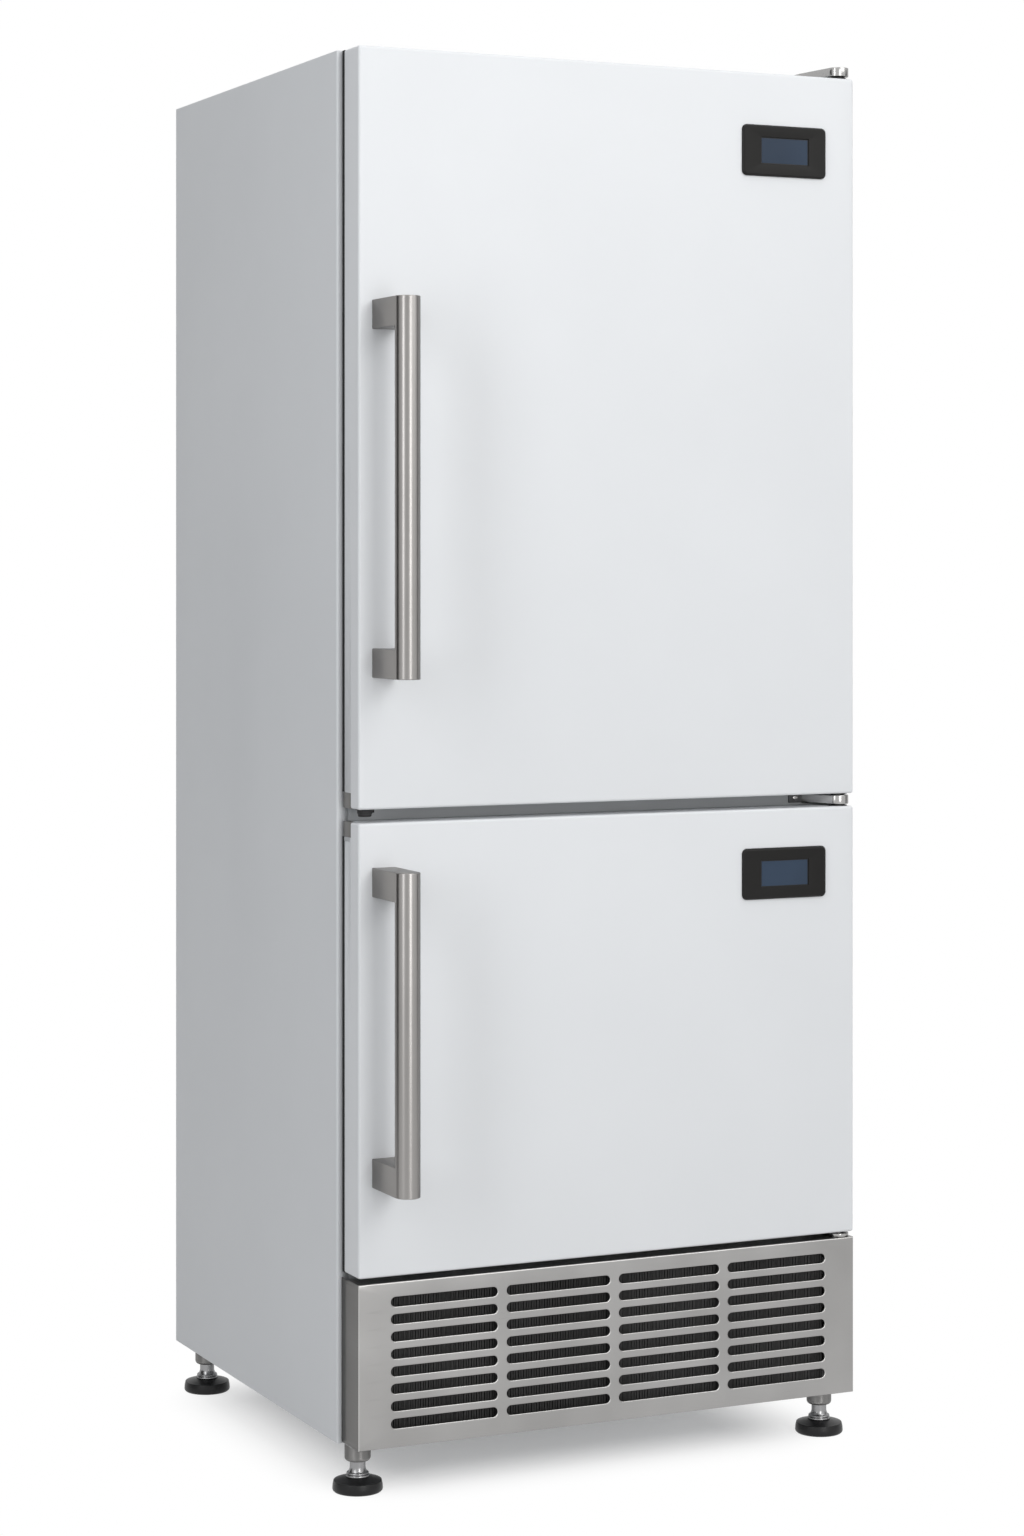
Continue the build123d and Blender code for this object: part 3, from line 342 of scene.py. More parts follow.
def paintMaterial(name):
    # paint, plastic or rubber: cloudy colour and roughness, with a fine raised grain
    colour, spread, rough, grain, depth, specular = finishes[name]
    colour = np.array(colour)
    s = paintSettings
    material, shader = newMaterial(name, colour, rough[0], specular=specular)
    cloud = addNoise(shader, s["cloud"], detail=2)
    driveColour(shader, cloud, colour - spread, colour + spread * s["lightShare"])
    driveRoughness(shader, addNoise(shader, s["patches"], detail=4), *rough)
    driveBump(shader, addNoise(shader, grain, detail=1), s["relief"], depth)
    return material


# for each: colour, its share at the edge, its spread, roughness from and to, streaks' scale, depth, pull
metals = {
    "handleSteel": ((0.300, 0.290, 0.282), 0.7, 0.012, (0.32, 0.40), (14, 14, 1700), 0.00004, 0.75),
    "plinthSteel": ((0.350, 0.345, 0.340), 0.8, 0.035, (0.25, 0.34), (9, 700, 1400), 0.00002, 0.0),
    # the next one is a brighter copy of the plinth's steel, a painted highlight
    "plinthEdge": ((0.50, 0.495, 0.485), 0.9, 0.03, (0.34, 0.42), (200, 200, 200), 0.00001, 0.0),
    # the next one is a darker copy of the plinth's steel for its side returns, painted shade
    "plinthReturn": ((0.175, 0.172, 0.168), 0.8, 0.02, (0.36, 0.46), (700, 9, 1400), 0.00002, 0.0),
    "footSteel": ((0.25, 0.246, 0.242), 0.6, 0.02, (0.42, 0.50), (30, 30, 1500), 0.00002, 0.9),
    "spindleChrome": ((0.30, 0.30, 0.305), 0.6, 0.02, (0.24, 0.32), (60, 60, 60), 0.00001, 0.0),
    "blockSteel": ((0.265, 0.260, 0.255), 0.8, 0.02, (0.34, 0.46), (900, 900, 40), 0.00003, 0.0),
    # the next one is a brighter copy of the hinge's metal, a painted highlight
    "hingeBrushed": ((0.74, 0.735, 0.73), 0.8, 0.03, (0.26, 0.36), (60, 60, 900), 0.00002, 0.0),
    "hingeChrome": ((0.40, 0.395, 0.39), 0.6, 0.02, (0.17, 0.25), (30, 30, 500), 0.00002, 0.0),
    "shelfSteel": ((0.62, 0.62, 0.62), 0.7, 0.02, (0.18, 0.28), (120, 120, 120), 0.00002, 0.0),
    "zincSteel": ((0.50, 0.51, 0.52), 0.8, 0.03, (0.38, 0.50), (55, 55, 55), 0.00003, 0.0),
    "coilAluminium": ((0.62, 0.63, 0.64), 0.8, 0.03, (0.3, 0.42), (80, 80, 500), 0.00003, 0.0),
    "motorSteel": ((0.42, 0.42, 0.42), 0.7, 0.03, (0.3, 0.42), (200, 200, 200), 0.00002, 0.0),
}
metalSettings = {"cloud": 7.0, "relief": 0.2, "pullTurn": 0.25}


def metalMaterial(name):
    # brushed metal: long noise streaks drive its roughness and a very shallow relief, a cloud its colour;
    # edge darkens it where it turns away, and pull stretches its highlights across the brushing
    colour, edge, spread, rough, streak, depth, pull = metals[name]
    colour = np.array(colour)
    material, shader = newMaterial(name, colour, rough[0], metallic=1.0)
    shader.inputs["Specular Tint"].default_value = (edge, edge, edge, 1)
    shader.inputs["Anisotropic"].default_value = pull
    if pull:
        shader.inputs["Anisotropic Rotation"].default_value = metalSettings["pullTurn"]
        tangent = addNode(material.node_tree, "Tangent")
        tangent.direction_type = "RADIAL"
        tangent.axis = "Z"
        material.node_tree.links.new(tangent.outputs["Tangent"], shader.inputs["Tangent"])
    streaks = addNoise(shader, 1.0, stretch=streak)
    driveColour(shader, addNoise(shader, metalSettings["cloud"], detail=2), colour - spread, colour + spread)
    driveRoughness(shader, streaks, *rough)
    driveBump(shader, streaks, metalSettings["relief"], depth)
    return material


screenSettings = {"colour": (0.024, 0.043, 0.076), "dark": (0.020, 0.036, 0.064),
                  "light": (0.028, 0.050, 0.088), "rough": (0.16, 0.24), "specular": 0.3,
                  "cloud": 9.0, "patches": 60.0}


def screenMaterial():
    # dark blue window under a glossy surface
    s = screenSettings
    material, shader = newMaterial("screenFilm", s["colour"], 0.2, specular=s["specular"])
    driveColour(shader, addNoise(shader, s["cloud"], detail=1), s["dark"], s["light"], 0.35, 0.65)
    driveRoughness(shader, addNoise(shader, s["patches"], detail=2), *s["rough"])
    return material


materials = {name: paintMaterial(name) for name in finishes}
materials.update({name: metalMaterial(name) for name in metals})
materials["screenFilm"] = screenMaterial()


def slotMaterial(slot):
    # the record's slot name cabinet_paint is the material cabinetPaint here
    words = slot.split("_")
    key = words[0] + "".join(word.capitalize() for word in words[1:])
    return materials["foamCore" if key == "foam" else key]


slotOfNode = {part["node"]: part["material_slot"] for part in frame["record"]["subparts"]}
for node, thing in frame["nodes"].items():
    thing.data.materials.clear()
    thing.data.materials.append(slotMaterial(slotOfNode[node]))
print("materials made:", len(materials))

# doors
doorSettings = {"edge": 3.5, "steps": 7, "sheet": 1.2, "flange": 16.0, "backEdge": 0.9, "pinX": 345.0,
                "pinY": -275.5, "hole": 8.3, "blockWidth": 8.2, "blockHeight": 19.7, "blockDepth": 21.2,
                "lastRow": 6.0}


def doorShell(name, blockAtBottom):
    # a rounded pan: each point is a core point plus (edge radius less inset) times an outward direction;
    # the inset follows a quarter circle at the front edge, then a small one at the back, then the flange
    low, high = ends(f"{name}_door_skin")
    s = doorSettings
    edge, hole, back, blockZ = s["edge"] * mm, s["hole"] * mm, s["backEdge"] * mm, s["blockHeight"] * mm
    pinX, pinY, blockX = s["pinX"] * mm, s["pinY"] * mm, low[0] + s["blockWidth"] * mm
    left, bottom, right, top = low[0] + edge, low[2] + edge, high[0] - edge, high[2] - edge
    across = np.array([pinX + hole, pinX - hole, 0, -pinX + hole, blockX])
    down = np.array([high[2] - blockZ, (low[2] + high[2]) / 2, low[2] + blockZ])
    turn = np.linspace(0, np.pi / 2, s["steps"] + 1)
    corners = [(right, top), (left, top), (left, bottom), (right, bottom)]
    sides = [[(x, top) for x in across], [(left, z) for z in down],
             [(x, bottom) for x in across[::-1]], [(right, z) for z in down[::-1]]]
    outwards = [(0, 1), (-1, 0), (0, -1), (1, 0)]
    core, direction = [], []
    for k in range(4):  # a corner and the side after it: along the top, down, along the bottom, up
        angle = turn + k * np.pi / 2
        core += [np.tile(corners[k], (len(turn), 1)), np.array(sides[k])]
        direction += [np.stack([np.cos(angle), np.sin(angle)], -1), np.tile(outwards[k], (len(sides[k]), 1))]
    core = np.concatenate(core)
    direction = np.concatenate(direction)
    arc = np.linspace(0, np.pi / 2, 8)
    backArc = np.linspace(0, np.pi / 2, 4)
    depth = high[1] - low[1]
    pinDepth = pinY - low[1]
    middle = [pinDepth - hole, pinDepth + hole, depth - s["blockDepth"] * mm, depth - s["lastRow"] * mm]
    inset = np.concatenate([edge * (1 - np.sin(arc)), np.zeros(len(middle)), back * (1 - np.cos(backArc)),
                            [s["blockWidth"] * mm, s["flange"] * mm]])[:, None]
    place = np.concatenate([edge * (1 - np.cos(arc)), middle, depth - back + back * np.sin(backArc),
                            [depth, depth]])[:, None]
    flat = core[None] + np.maximum(edge - inset, 0)[..., None] * direction[None]
    flat = np.stack([np.clip(flat[..., 0], low[0] + inset, high[0] - inset),
                     np.clip(flat[..., 1], low[2] + inset, high[2] - inset)], -1)
    grid, faces = gridLump(standing(flat, low[1] + place), closedV=True, capStart=True)
    x, y, z = np.moveaxis(grid[faces[0]], -1, 0)
    slack = 0.05 * mm
    byBlock = z <= low[2] + blockZ + slack if blockAtBottom else z >= high[2] - blockZ - slack
    notch = ((x <= blockX + slack) & (y >= high[1] - s["blockDepth"] * mm - slack) & byBlock).all(1)
    pin = ((np.abs(x - pinX) <= hole + slack) & (np.abs(y - pinY) <= hole + slack)
           & ((np.abs(z - low[2]) < mm) | (np.abs(z - high[2]) < mm))).all(1)
    faces[0] = faces[0][~(notch | pin)]
    piece = makePiece(f"{name}DoorShell", [(grid, faces)], materials["doorPaint"], weld=0.002 * mm)
    addSolidify(piece, s["sheet"] * mm)
    attach(piece, f"{name}_door", "door_paint", f"{name}_door_skin")


doorShell("upper", True)
doorShell("lower", False)
print("doors made")

# seals and corner blocks
sealSettings = {"inset": 0.4, "hingeInset": 9.0, "depth": 9.2, "width": 5.6, "gap": 0.4}


def outerSealGapShade(name, blockAtBottom):
    # the seal's section carried round the door's back, with a step past the corner block: each point of the
    # section gives one loop, set in by its first number along the mitred corners
    # the seal is real, and its black colour and depth also stand in for the shade in the gap around the door
    low, high = ends(f"{name}_door_skin")
    s = sealSettings
    inset, depth, width, gap = s["inset"] * mm, s["depth"], s["width"], s["gap"] * mm
    left, right, bottom, top = low[0] + inset, high[0] - s["hingeInset"] * mm, low[2] + inset, high[2] - inset
    stepX = low[0] + doorSettings["blockWidth"] * mm + gap
    rise = doorSettings["blockHeight"] * mm + gap
    if blockAtBottom:
        outline = [(right, bottom), (right, top), (left, top), (left, low[2] + rise), (stepX, low[2] + rise),
                   (stepX, bottom)]
    else:
        outline = [(left, bottom), (right, bottom), (right, top), (stepX, top), (stepX, high[2] - rise),
                   (left, high[2] - rise)]
    outline = np.array(outline)
    section = np.array([(0.3, -0.3), (0, 0.2), (0, depth - 1.4), (0.5, depth - 0.4), (1.5, depth),
                        (width - 1.5, depth), (width - 0.5, depth - 0.5), (width, depth - 1.6),
                        (width, -0.3)]) * mm
    flat = outline[None] - outlineNormals(outline)[None] * section[:, :1, None]
    points = standing(flat, high[1] + section[:, 1:])
    piece = makePiece(f"{name}OuterSealGapShade", [gridLump(points, closedU=True, closedV=True)],
                      materials["sealRubber"], smoothAngle=50)
    attach(piece, f"{name}_door", "gasket_rubber")


outerSealGapShade("upper", True)
outerSealGapShade("lower", False)

blockSettings = {"round": 1.6, "edge": 0.8, "tab": 5.5, "tabProud": 0.35, "tabWidth": 4.0, "tabFront": 3.0,
                 "tabBack": 4.5, "tabRound": 0.9, "tabEdge": 0.6}


def cornerBlock(name, hasTab):
    # a small block with rounded upright corners and rounded edges, and on the lower door a light tab below it
    low, high = ends(f"{name}_corner_block")
    s = {key: value * mm for key, value in blockSettings.items()}
    lumps = [blockLump(low, high, s["round"], edge=s["edge"])]
    if hasTab:
        tabLow = np.array([low[0] - s["tabProud"], low[1] + s["tabFront"], low[2] - s["tab"]])
        tabHigh = np.array([low[0] + s["tabWidth"], high[1] - s["tabBack"], low[2]])
        lumps.append(blockLump(tabLow, tabHigh, s["tabRound"], edge=s["tabEdge"]))
    piece = makePiece(f"{name}CornerBlock", lumps, materials["blockSteel"])
    finishFaces(piece, materials["blockPlastic"],
                lambda centres, normals, areas: centres[:, 2] < low[2] - 0.01 * mm)
    attach(piece, f"{name}_door", "foot_steel", f"{name}_corner_block")


cornerBlock("upper", False)
cornerBlock("lower", True)
print("seals and corner blocks made")

# handles
handleSettings = {"round": 1.1, "post": 37.0, "hair": 0.01, "count": 96}


def postOutline(centre, radius, back):
    # plan of a post: a half circle round the front of the tube, then straight back to the door on both sides
    angle = np.linspace(np.pi, 2 * np.pi, 33)
    front = np.stack([centre[0] + radius * np.cos(angle), centre[1] + radius * np.sin(angle)], -1)
    return np.concatenate([front, [[centre[0] + radius, back], [centre[0] - radius, back]]])


def barHandle(name):
    # a tube turned about its upright axis, its rims rounded, and two posts that hug it and run to the door
    low, high = ends(f"{name}_handle")
    radius = (high[0] - low[0]) / 2
    centre = np.array([(low[0] + high[0]) / 2, low[1] + radius, 0])
    rim = handleSettings["round"] * mm
    arc = np.linspace(0, np.pi / 2, 6)
    lowRim = np.stack([radius - rim + rim * np.sin(arc), low[2] + rim - rim * np.cos(arc)], -1)
    highRim = np.stack([radius - rim + rim * np.cos(arc), high[2] - rim + rim * np.sin(arc)], -1)
    lumps = [latheLump(np.concatenate([lowRim, highRim]), centre, handleSettings["count"])]
    height = handleSettings["post"] * mm
    hair = handleSettings["hair"] * mm  # the post stays this much inside the tube's skin
    outline = postOutline(centre, radius - hair, high[1])
    for bottom in (low[2], high[2] - height):
        lumps.append(plateLump(outline, bottom + hair, bottom + height - hair, rim, steps=5))
    piece = makePiece(f"{name}BarHandle", lumps, materials["handleSteel"], smoothAngle=30)
    attach(piece, f"{name}_door", "handle_steel", f"{name}_handle")


barHandle("upper")
barHandle("lower")
print("handles made")

# displays
displaySettings = {"proud": 4.5, "corner": 7.0, "bevel": 2.4, "width": 72.0, "height": 35.0,
                   "openingCorner": 0.7, "lip": 0.7, "recess": 1.8, "mask": 1.0, "paneEdge": 0.15,
                   "paneDepth": 1.2}


def displayUnit(name):
    # loops of one rounded outline: base, side, bevel, face, then the opening's lip and wall, closed behind
    low, high = ends(f"{name}_display_bezel")
    s = {key: value * mm for key, value in displaySettings.items()}
    front, bevel, lip, edge = low[1], s["bevel"], s["lip"], s["paneEdge"]
    base, floorLevel = front + s["proud"], front + s["recess"]
    paneBack = floorLevel + s["paneDepth"]
    centre = (low + high) / 2

    def outer(gap, y):  # the housing's outline, set in by the gap
        corner = s["corner"] - gap
        return standing(roundedLoop(low[0] + gap, high[0] - gap, low[2] + gap, high[2] - gap, corner, 8), y)

    def inner(gap, y):  # the opening's outline, moved out by the gap
        x, z = s["width"] / 2 + gap, s["height"] / 2 + gap
        corner = max(s["openingCorner"] + gap, 0.2 * mm)
        return standing(roundedLoop(centre[0] - x, centre[0] + x, centre[2] - z, centre[2] + z, corner, 8), y)

    loops = [outer(0, base), outer(0, front + bevel + 0.3 * mm), outer(0.15 * mm, front + bevel - 0.1 * mm),
             outer(bevel - 0.2 * mm, front + 0.25 * mm), outer(bevel + 0.3 * mm, front),
             inner(lip + 0.3 * mm, front), inner(lip, front + 0.05 * mm), inner(0.1 * mm, front + lip * 0.8),
             inner(0, front + lip), inner(0, paneBack), inner(0, base)]
    bezel = makePiece(f"{name}DisplayHousing", [gridLump(np.array(loops), closedU=True, closedV=True)],
                      materials["bezelPlastic"], smoothAngle=25)
    attach(bezel, f"{name}_door", "bezel_plastic", f"{name}_display_bezel")
    window = [inner(-s["mask"], floorLevel), inner(-edge, floorLevel), inner(0, floorLevel + edge),
              inner(0, paneBack)]
    pane = makePiece(f"{name}DisplayWindow", [solidLump(window)], materials["screenFilm"])
    finishFaces(pane, materials["blackPlastic"], lambda centres, normals, areas: areas < areas.max() * 0.5)
    attach(pane, f"{name}_door", "screen_film", f"{name}_display_screen")


displayUnit("upper")
displayUnit("lower")
print("displays made")

# plinth with its slots
plinthSettings = {"fold": 2.0, "foldSteps": 4, "columns": 4, "rows": 8, "length": 148.0, "height": 12.4,
                  "columnPitch": 161.0, "rowPitch": 22.0, "firstRow": 25.0, "sheet": 1.5, "flange": 40.0,
                  "endSteps": 16, "rim": 1.1, "flat": 1.4}


def slotOutline(centreX, centreZ, offset):
    # a slot's outline, moved out by the offset: the right half circle, then the left one
    steps = plinthSettings["endSteps"]
    radius = plinthSettings["height"] * mm / 2
    reach = plinthSettings["length"] * mm / 2 - radius
    angle = np.linspace(np.pi / 2, -np.pi / 2, steps + 1)
    right = np.stack([reach + (radius + offset) * np.cos(angle), (radius + offset) * np.sin(angle)], -1)
    return np.concatenate([right, -right]) + np.array([centreX, centreZ])


def cellBorder(centreX, xLow, xHigh, zLow, zHigh):
    # the border round one slot, a point for each point of the slot's outline: the first and last quarter
    # of each half circle lie on the border's top and bottom, the rest on its side
    steps = plinthSettings["endSteps"]
    reach = (plinthSettings["length"] - plinthSettings["height"]) * mm / 2
    share = np.linspace(0, 1, steps + 1)
    marks = [0, 0.25, 0.75, 1]
    right = np.stack([np.interp(share, marks, [centreX + reach, xHigh, xHigh, centreX + reach]),
                      np.interp(share, marks, [zHigh, zHigh, zLow, zLow])], -1)
    left = np.stack([np.interp(share, marks, [centreX - reach, xLow, xLow, centreX - reach]),
                     np.interp(share, marks, [zLow, zLow, zHigh, zHigh])], -1)
    return np.concatenate([right, left])


def slottedPlinth():
    # a grid of slot cells fills the front, each slot's rim turning in on a quarter circle; quarter circles
    # fold the sheet back at all four edges, and flat returns carry on from the folds
    low, high = ends("plinth_grille")
    s = plinthSettings
    fold, rim, sheet = s["fold"] * mm, s["rim"] * mm, s["sheet"] * mm
    rows, columns = s["rows"], s["columns"]
    xMin, xMax, zMin, zMax = low[0] + fold, high[0] - fold, low[2] + fold, high[2] - fold
    slotX = (np.arange(columns) - (columns - 1) / 2) * s["columnPitch"] * mm
    slotZ = high[2] - (s["firstRow"] + np.arange(rows) * s["rowPitch"]) * mm
    edgeX = np.concatenate([[xMin], (slotX[:-1] + slotX[1:]) / 2, [xMax]])
    edgeZ = np.concatenate([[zMax], (slotZ[:-1] + slotZ[1:]) / 2, [zMin]])
    rimArc = np.linspace(0, np.pi / 2, 5)
    offsets = np.concatenate([[rim + s["flat"] * mm], rim * (1 - np.sin(rimArc)), [0]])
    depths = low[1] + np.concatenate([[0, 0], rim * (1 - np.cos(rimArc)), [sheet]])[:, None]
    lumps = []
    borders = {}
    for c in range(columns):
        for r in range(rows):
            border = cellBorder(slotX[c], edgeX[c], edgeX[c + 1], edgeZ[r + 1], edgeZ[r])
            borders[c, r] = border
            ring = np.array([border] + [slotOutline(slotX[c], slotZ[r], offset) for offset in offsets])
            lumps.append(gridLump(standing(ring, depths), closedV=True))

    def ticks(axis, value, cells):
        # border points that lie on one edge of the whole front, in order
        points = np.concatenate([borders[cell] for cell in cells])
        points = points[np.abs(points[:, axis] - value) < 1e-7]
        return np.unique(np.round(points[:, 1 - axis], 7))

    leftZ = ticks(0, xMin, [(0, r) for r in range(rows)])
    topX = ticks(1, zMax, [(c, 0) for c in range(columns)])
    arc = np.linspace(0, np.pi / 2, s["foldSteps"] + 1)

    def strip(line, fixed, sign, reaches, isSide):
        # an edge line carried round the fold and along its return; its two ends move out with the mitre
        outs = np.concatenate([fold * np.sin(arc), np.full(len(reaches), fold)])
        backs = np.concatenate([low[1] + fold * (1 - np.cos(arc)), reaches])
        stretch = np.zeros(len(line))
        stretch[0], stretch[-1] = -1, 1
        along = line[None] + outs[:, None] * stretch[None]
        away = np.full(along.shape, fixed) + sign * outs[:, None]
        deep = np.repeat(backs[:, None], len(line), 1)
        return gridLump(np.stack((away, deep, along) if isSide else (along, deep, away), -1))

    topBack = low[1] + s["flange"] * mm
    lipBack = low[1] + 2 * fold
    lumps.append(strip(leftZ, xMin, -1, [lipBack, topBack, high[1]], True))
    lumps.append(strip(leftZ, xMax, 1, [lipBack, topBack, high[1]], True))
    lumps.append(strip(topX, zMax, 1, [lipBack, topBack], False))
    lumps.append(strip(topX, zMin, -1, [lipBack], False))
    piece = makePiece("slottedPlinth", lumps, materials["plinthSteel"], weld=0.003 * mm, smoothAngle=30)
    finishFaces(piece, materials["plinthEdge"],  # painted highlight: brighter steel where rims and folds face up or sideways
                lambda centres, normals, areas: (np.abs(normals).max(1) < 0.93) & (normals[:, 2] > -0.35))
    # painted shade: the side returns get the darker copy of the steel
    finishFaces(piece, materials["plinthReturn"],
                lambda centres, normals, areas: np.abs(normals[:, 0]) > 0.93)
    addSolidify(piece, sheet)
    attach(piece, "cabinet", "plinth_steel", "plinth_grille")


slottedPlinth()
print("plinth made")

# condenser behind the plinth
condenserSettings = {"fin": 0.9, "pitch": 2.3, "sway": 0.25, "swayTurn": 2.399, "plate": 3.0,
                     "plateEdge": 0.4, "tube": 4.5, "tubeRows": 8, "tubeSetback": 12.0}


def finnedCondenser():
    # thin upright fins side by side, tubes running through them, and a plate at each end
    low, high = ends("condenser")
    s = condenserSettings
    plate, pitch, half = s["plate"] * mm, s["pitch"] * mm, s["fin"] * mm / 2
    count = int((high[0] - low[0] - 2 * plate) / pitch)
    order = np.arange(count)
    sway = s["sway"] * mm * np.sin(order * s["swayTurn"])  # fins are never quite even
    middle = (order - (count - 1) / 2) * pitch + sway
    start = np.stack([middle, np.full(count, low[1]), np.full(count, low[2])], -1)
    corner = np.array([[-1, 0, 0], [1, 0, 0], [1, 1, 0], [-1, 1, 0],
                       [-1, 0, 1], [1, 0, 1], [1, 1, 1], [-1, 1, 1]], float)
    points = corner[None] * np.array([half, high[1] - low[1], high[2] - low[2]]) + start[:, None]
    box = np.array([[0, 1, 5, 4], [1, 2, 6, 5], [2, 3, 7, 6], [3, 0, 4, 7], [4, 5, 6, 7], [0, 3, 2, 1]])
    faces = (box[None] + len(corner) * order[:, None, None]).reshape(-1, 4)
    lumps = [(points.reshape(-1, 3), [faces])]
    for x in (low[0], high[0] - plate):
        plateHigh = np.array([x + plate, high[1], high[2]])
        lumps.append(blockLump(np.array([x, low[1], low[2]]), plateHigh, s["plateEdge"] * mm))
    gap = (high[2] - low[2]) / s["tubeRows"]
    for i in range(s["tubeRows"]):
        path = np.array([[low[0] + plate, 0, 0], [high[0] - plate, 0, 0]])
        path[:, 1] = low[1] + s["tubeSetback"] * mm
        path[:, 2] = low[2] + gap * (i + 0.5)
        lumps.append(tubeLump(path, s["tube"] * mm, 12))
    piece = makePiece("finnedCondenser", lumps, materials["coilBlack"])
    attach(piece, "cabinet", "coil_black", "condenser")


finnedCondenser()
print("condenser made")

# feet
footSettings = {"sleeveRadius": 16.75, "sleeveEdge": 3.9, "bore": 10.3, "mouth": 12.6, "mouthHeight": 5.5,
                "sleeveBottom": 39.0, "sleeveTop": 62.0, "shank": 10.0, "collar": 15.0, "collarBottom": 18.5,
                "ring": 14.3, "spindleTop": 92.0, "pad": 32.3, "padRim": 14.4, "padRound": 1.2,
                "padInset": 1.3, "edgeRise": 1.25, "flareLow": 6.4, "flareHigh": 13.0, "flareWide": 2.0,
                # steps are (distance out from the radius, height above the collar's underside or the floor)
                "collarSteps": [(-0.8, 0), (-0.15, 0.5), (0, 1.1), (0, 2.0), (-0.3, 2.7), (-1.1, 3.0)],
                "ringSteps": [(-0.7, 3.3), (-0.1, 3.9), (0, 4.6), (-0.3, 5.5), (-1.0, 6.1)],
                "padSteps": [(-4.0, 0), (-2.0, 0.5), (-0.5, 1.9), (0, 3.6), (-0.4, 9.0)]}


def footCentre(body):
    # the middle of the spindle's box, at floor level
    low, high = ends(f"{body}_foot_spindle")
    return np.array([(low[0] + high[0]) / 2, (low[1] + high[1]) / 2, 0])


def footSleeves():
    # four turned sockets: a bore with a wide mouth for the spindle's flare, a round lower rim, straight sides
    s = footSettings
    radius, edge, bottom, top = s["sleeveRadius"], s["sleeveEdge"], s["sleeveBottom"], s["sleeveTop"]
    arc = np.linspace(0, np.pi / 2, 8)
    rim = np.stack([radius - edge * (1 - np.sin(arc)), bottom + s["edgeRise"] * edge * (1 - np.cos(arc))], -1)
    inside = [(s["bore"], top), (s["bore"], bottom + s["mouthHeight"]), (s["mouth"], bottom)]
    profile = np.concatenate([inside, rim, [(radius, top)]]) * mm
    lumps = [latheLump(profile, footCentre(body), 72, closed=True)
             for body in ("front_left", "front_right", "back_left", "back_right")]
    piece = makePiece("legSleeves", lumps, materials["footSteel"], smoothAngle=40)
    attach(piece, "cabinet", "foot_steel", "leg_sleeves")


def levellingFoot(body):
    # the spindle flares on a curve into a ring on its collar, and the pad's rim is rounded above and below
    s = footSettings
    start, shank, wide, centre = s["collarBottom"], s["shank"], s["pad"], footCentre(body)
    level = np.linspace(s["flareHigh"] - s["flareLow"], 0, 9)
    flare = np.stack([shank + s["flareWide"] * (level / level[0]) ** 2, start + s["flareHigh"] - level], -1)
    profile = np.concatenate([np.array(s["collarSteps"]) + (s["collar"], start),
                              np.array(s["ringSteps"]) + (s["ring"], start), flare,
                              [(shank, s["spindleTop"] - 1), (shank - 1, s["spindleTop"])]]) * mm
    spindle = makePiece(f"{body}_footSpindle", [latheLump(profile, centre, 72)],
                        materials["spindleChrome"], smoothAngle=40)
    attach(spindle, f"{body}_foot", "foot_steel", f"{body}_foot_spindle")
    rim = np.linspace(0, np.pi / 2, 6)
    top = np.stack([wide - s["padInset"] - s["padRound"] * (1 - np.cos(rim)),
                    s["padRim"] - s["padRound"] * (1 - np.sin(rim))], -1)
    rubber = np.concatenate([np.array(s["padSteps"]) + (wide, 0), top,
                             [(wide - 4.5, s["padRim"] + 0.5), (20.0, start - 1.3), (16.2, start - 0.5),
                              (14.6, start)]]) * mm
    pad = makePiece(f"{body}_footPad", [latheLump(rubber, centre, 96)], materials["padRubber"],
                    smoothAngle=40)
    attach(pad, f"{body}_foot", "pad_rubber", f"{body}_foot_pad")


footSleeves()
for end in ("front", "back"):
    for side in ("left", "right"):
        levellingFoot(f"{end}_{side}")
print("feet made")

# hinges
hingeSettings = {"pinX": doorSettings["pinX"], "pinY": doorSettings["pinY"], "round": 14.0, "splay": 9.0,
                 "splayDepth": 64.0, "edge": 1.0, "thick": 12.0, "pin": 5.0, "pinChamfer": 0.6, "screw": 3.4,
                 "screwHeight": 1.4, "footFront": -228.5, "screwsX": 340.5, "screwsY": (-205.0, -150.0),
                 "wedgeInset": 18.0, "plate": 3.0, "plateHalf": 6.0, "plateRound": 0.8, "plateEdge": 0.5,
                 "plateScrew": 9.0, "sideArea": 200.0, "bottomArm": 278.4, "bottomThick": 4.5}


def noseArc(start, count):
    # part of the circle about the pin, from the start angle round to its right side
    s = hingeSettings
    angle = np.linspace(start, 2 * np.pi, count)
    return np.stack([s["pinX"] + s["round"] * np.cos(angle), s["pinY"] + s["round"] * np.sin(angle)], -1)


def wedgeOutline(rootX, back):
    # plan of the middle arm, counterclockwise: the line from the root's left end touches the nose's circle
    # at the angle of the root from the pin plus arccos(radius / distance), then the arc runs on to the right
    s = hingeSettings
    dx, dy = rootX - s["pinX"], back - s["pinY"]
    touch = np.arctan2(dy, dx) + np.arccos(s["round"] / np.hypot(dx, dy))
    return np.concatenate([noseArc(touch, 21), [(s["pinX"] + s["round"], back), (rootX, back)]]) * mm


def armOutline(back):
    # plan of an arm, counterclockwise: a half circle about the pin, then out to its wide root
    s = hingeSettings
    left = s["pinX"] - s["round"]
    share = min((back - s["pinY"]) / s["splayDepth"], 1)
    root = [(left + 2 * s["round"], back), (left - s["splay"] * share, back)]
    if share == 1:
        root.append((left - s["splay"], s["pinY"] + s["splayDepth"]))
    return np.concatenate([noseArc(np.pi, 25), root]) * mm


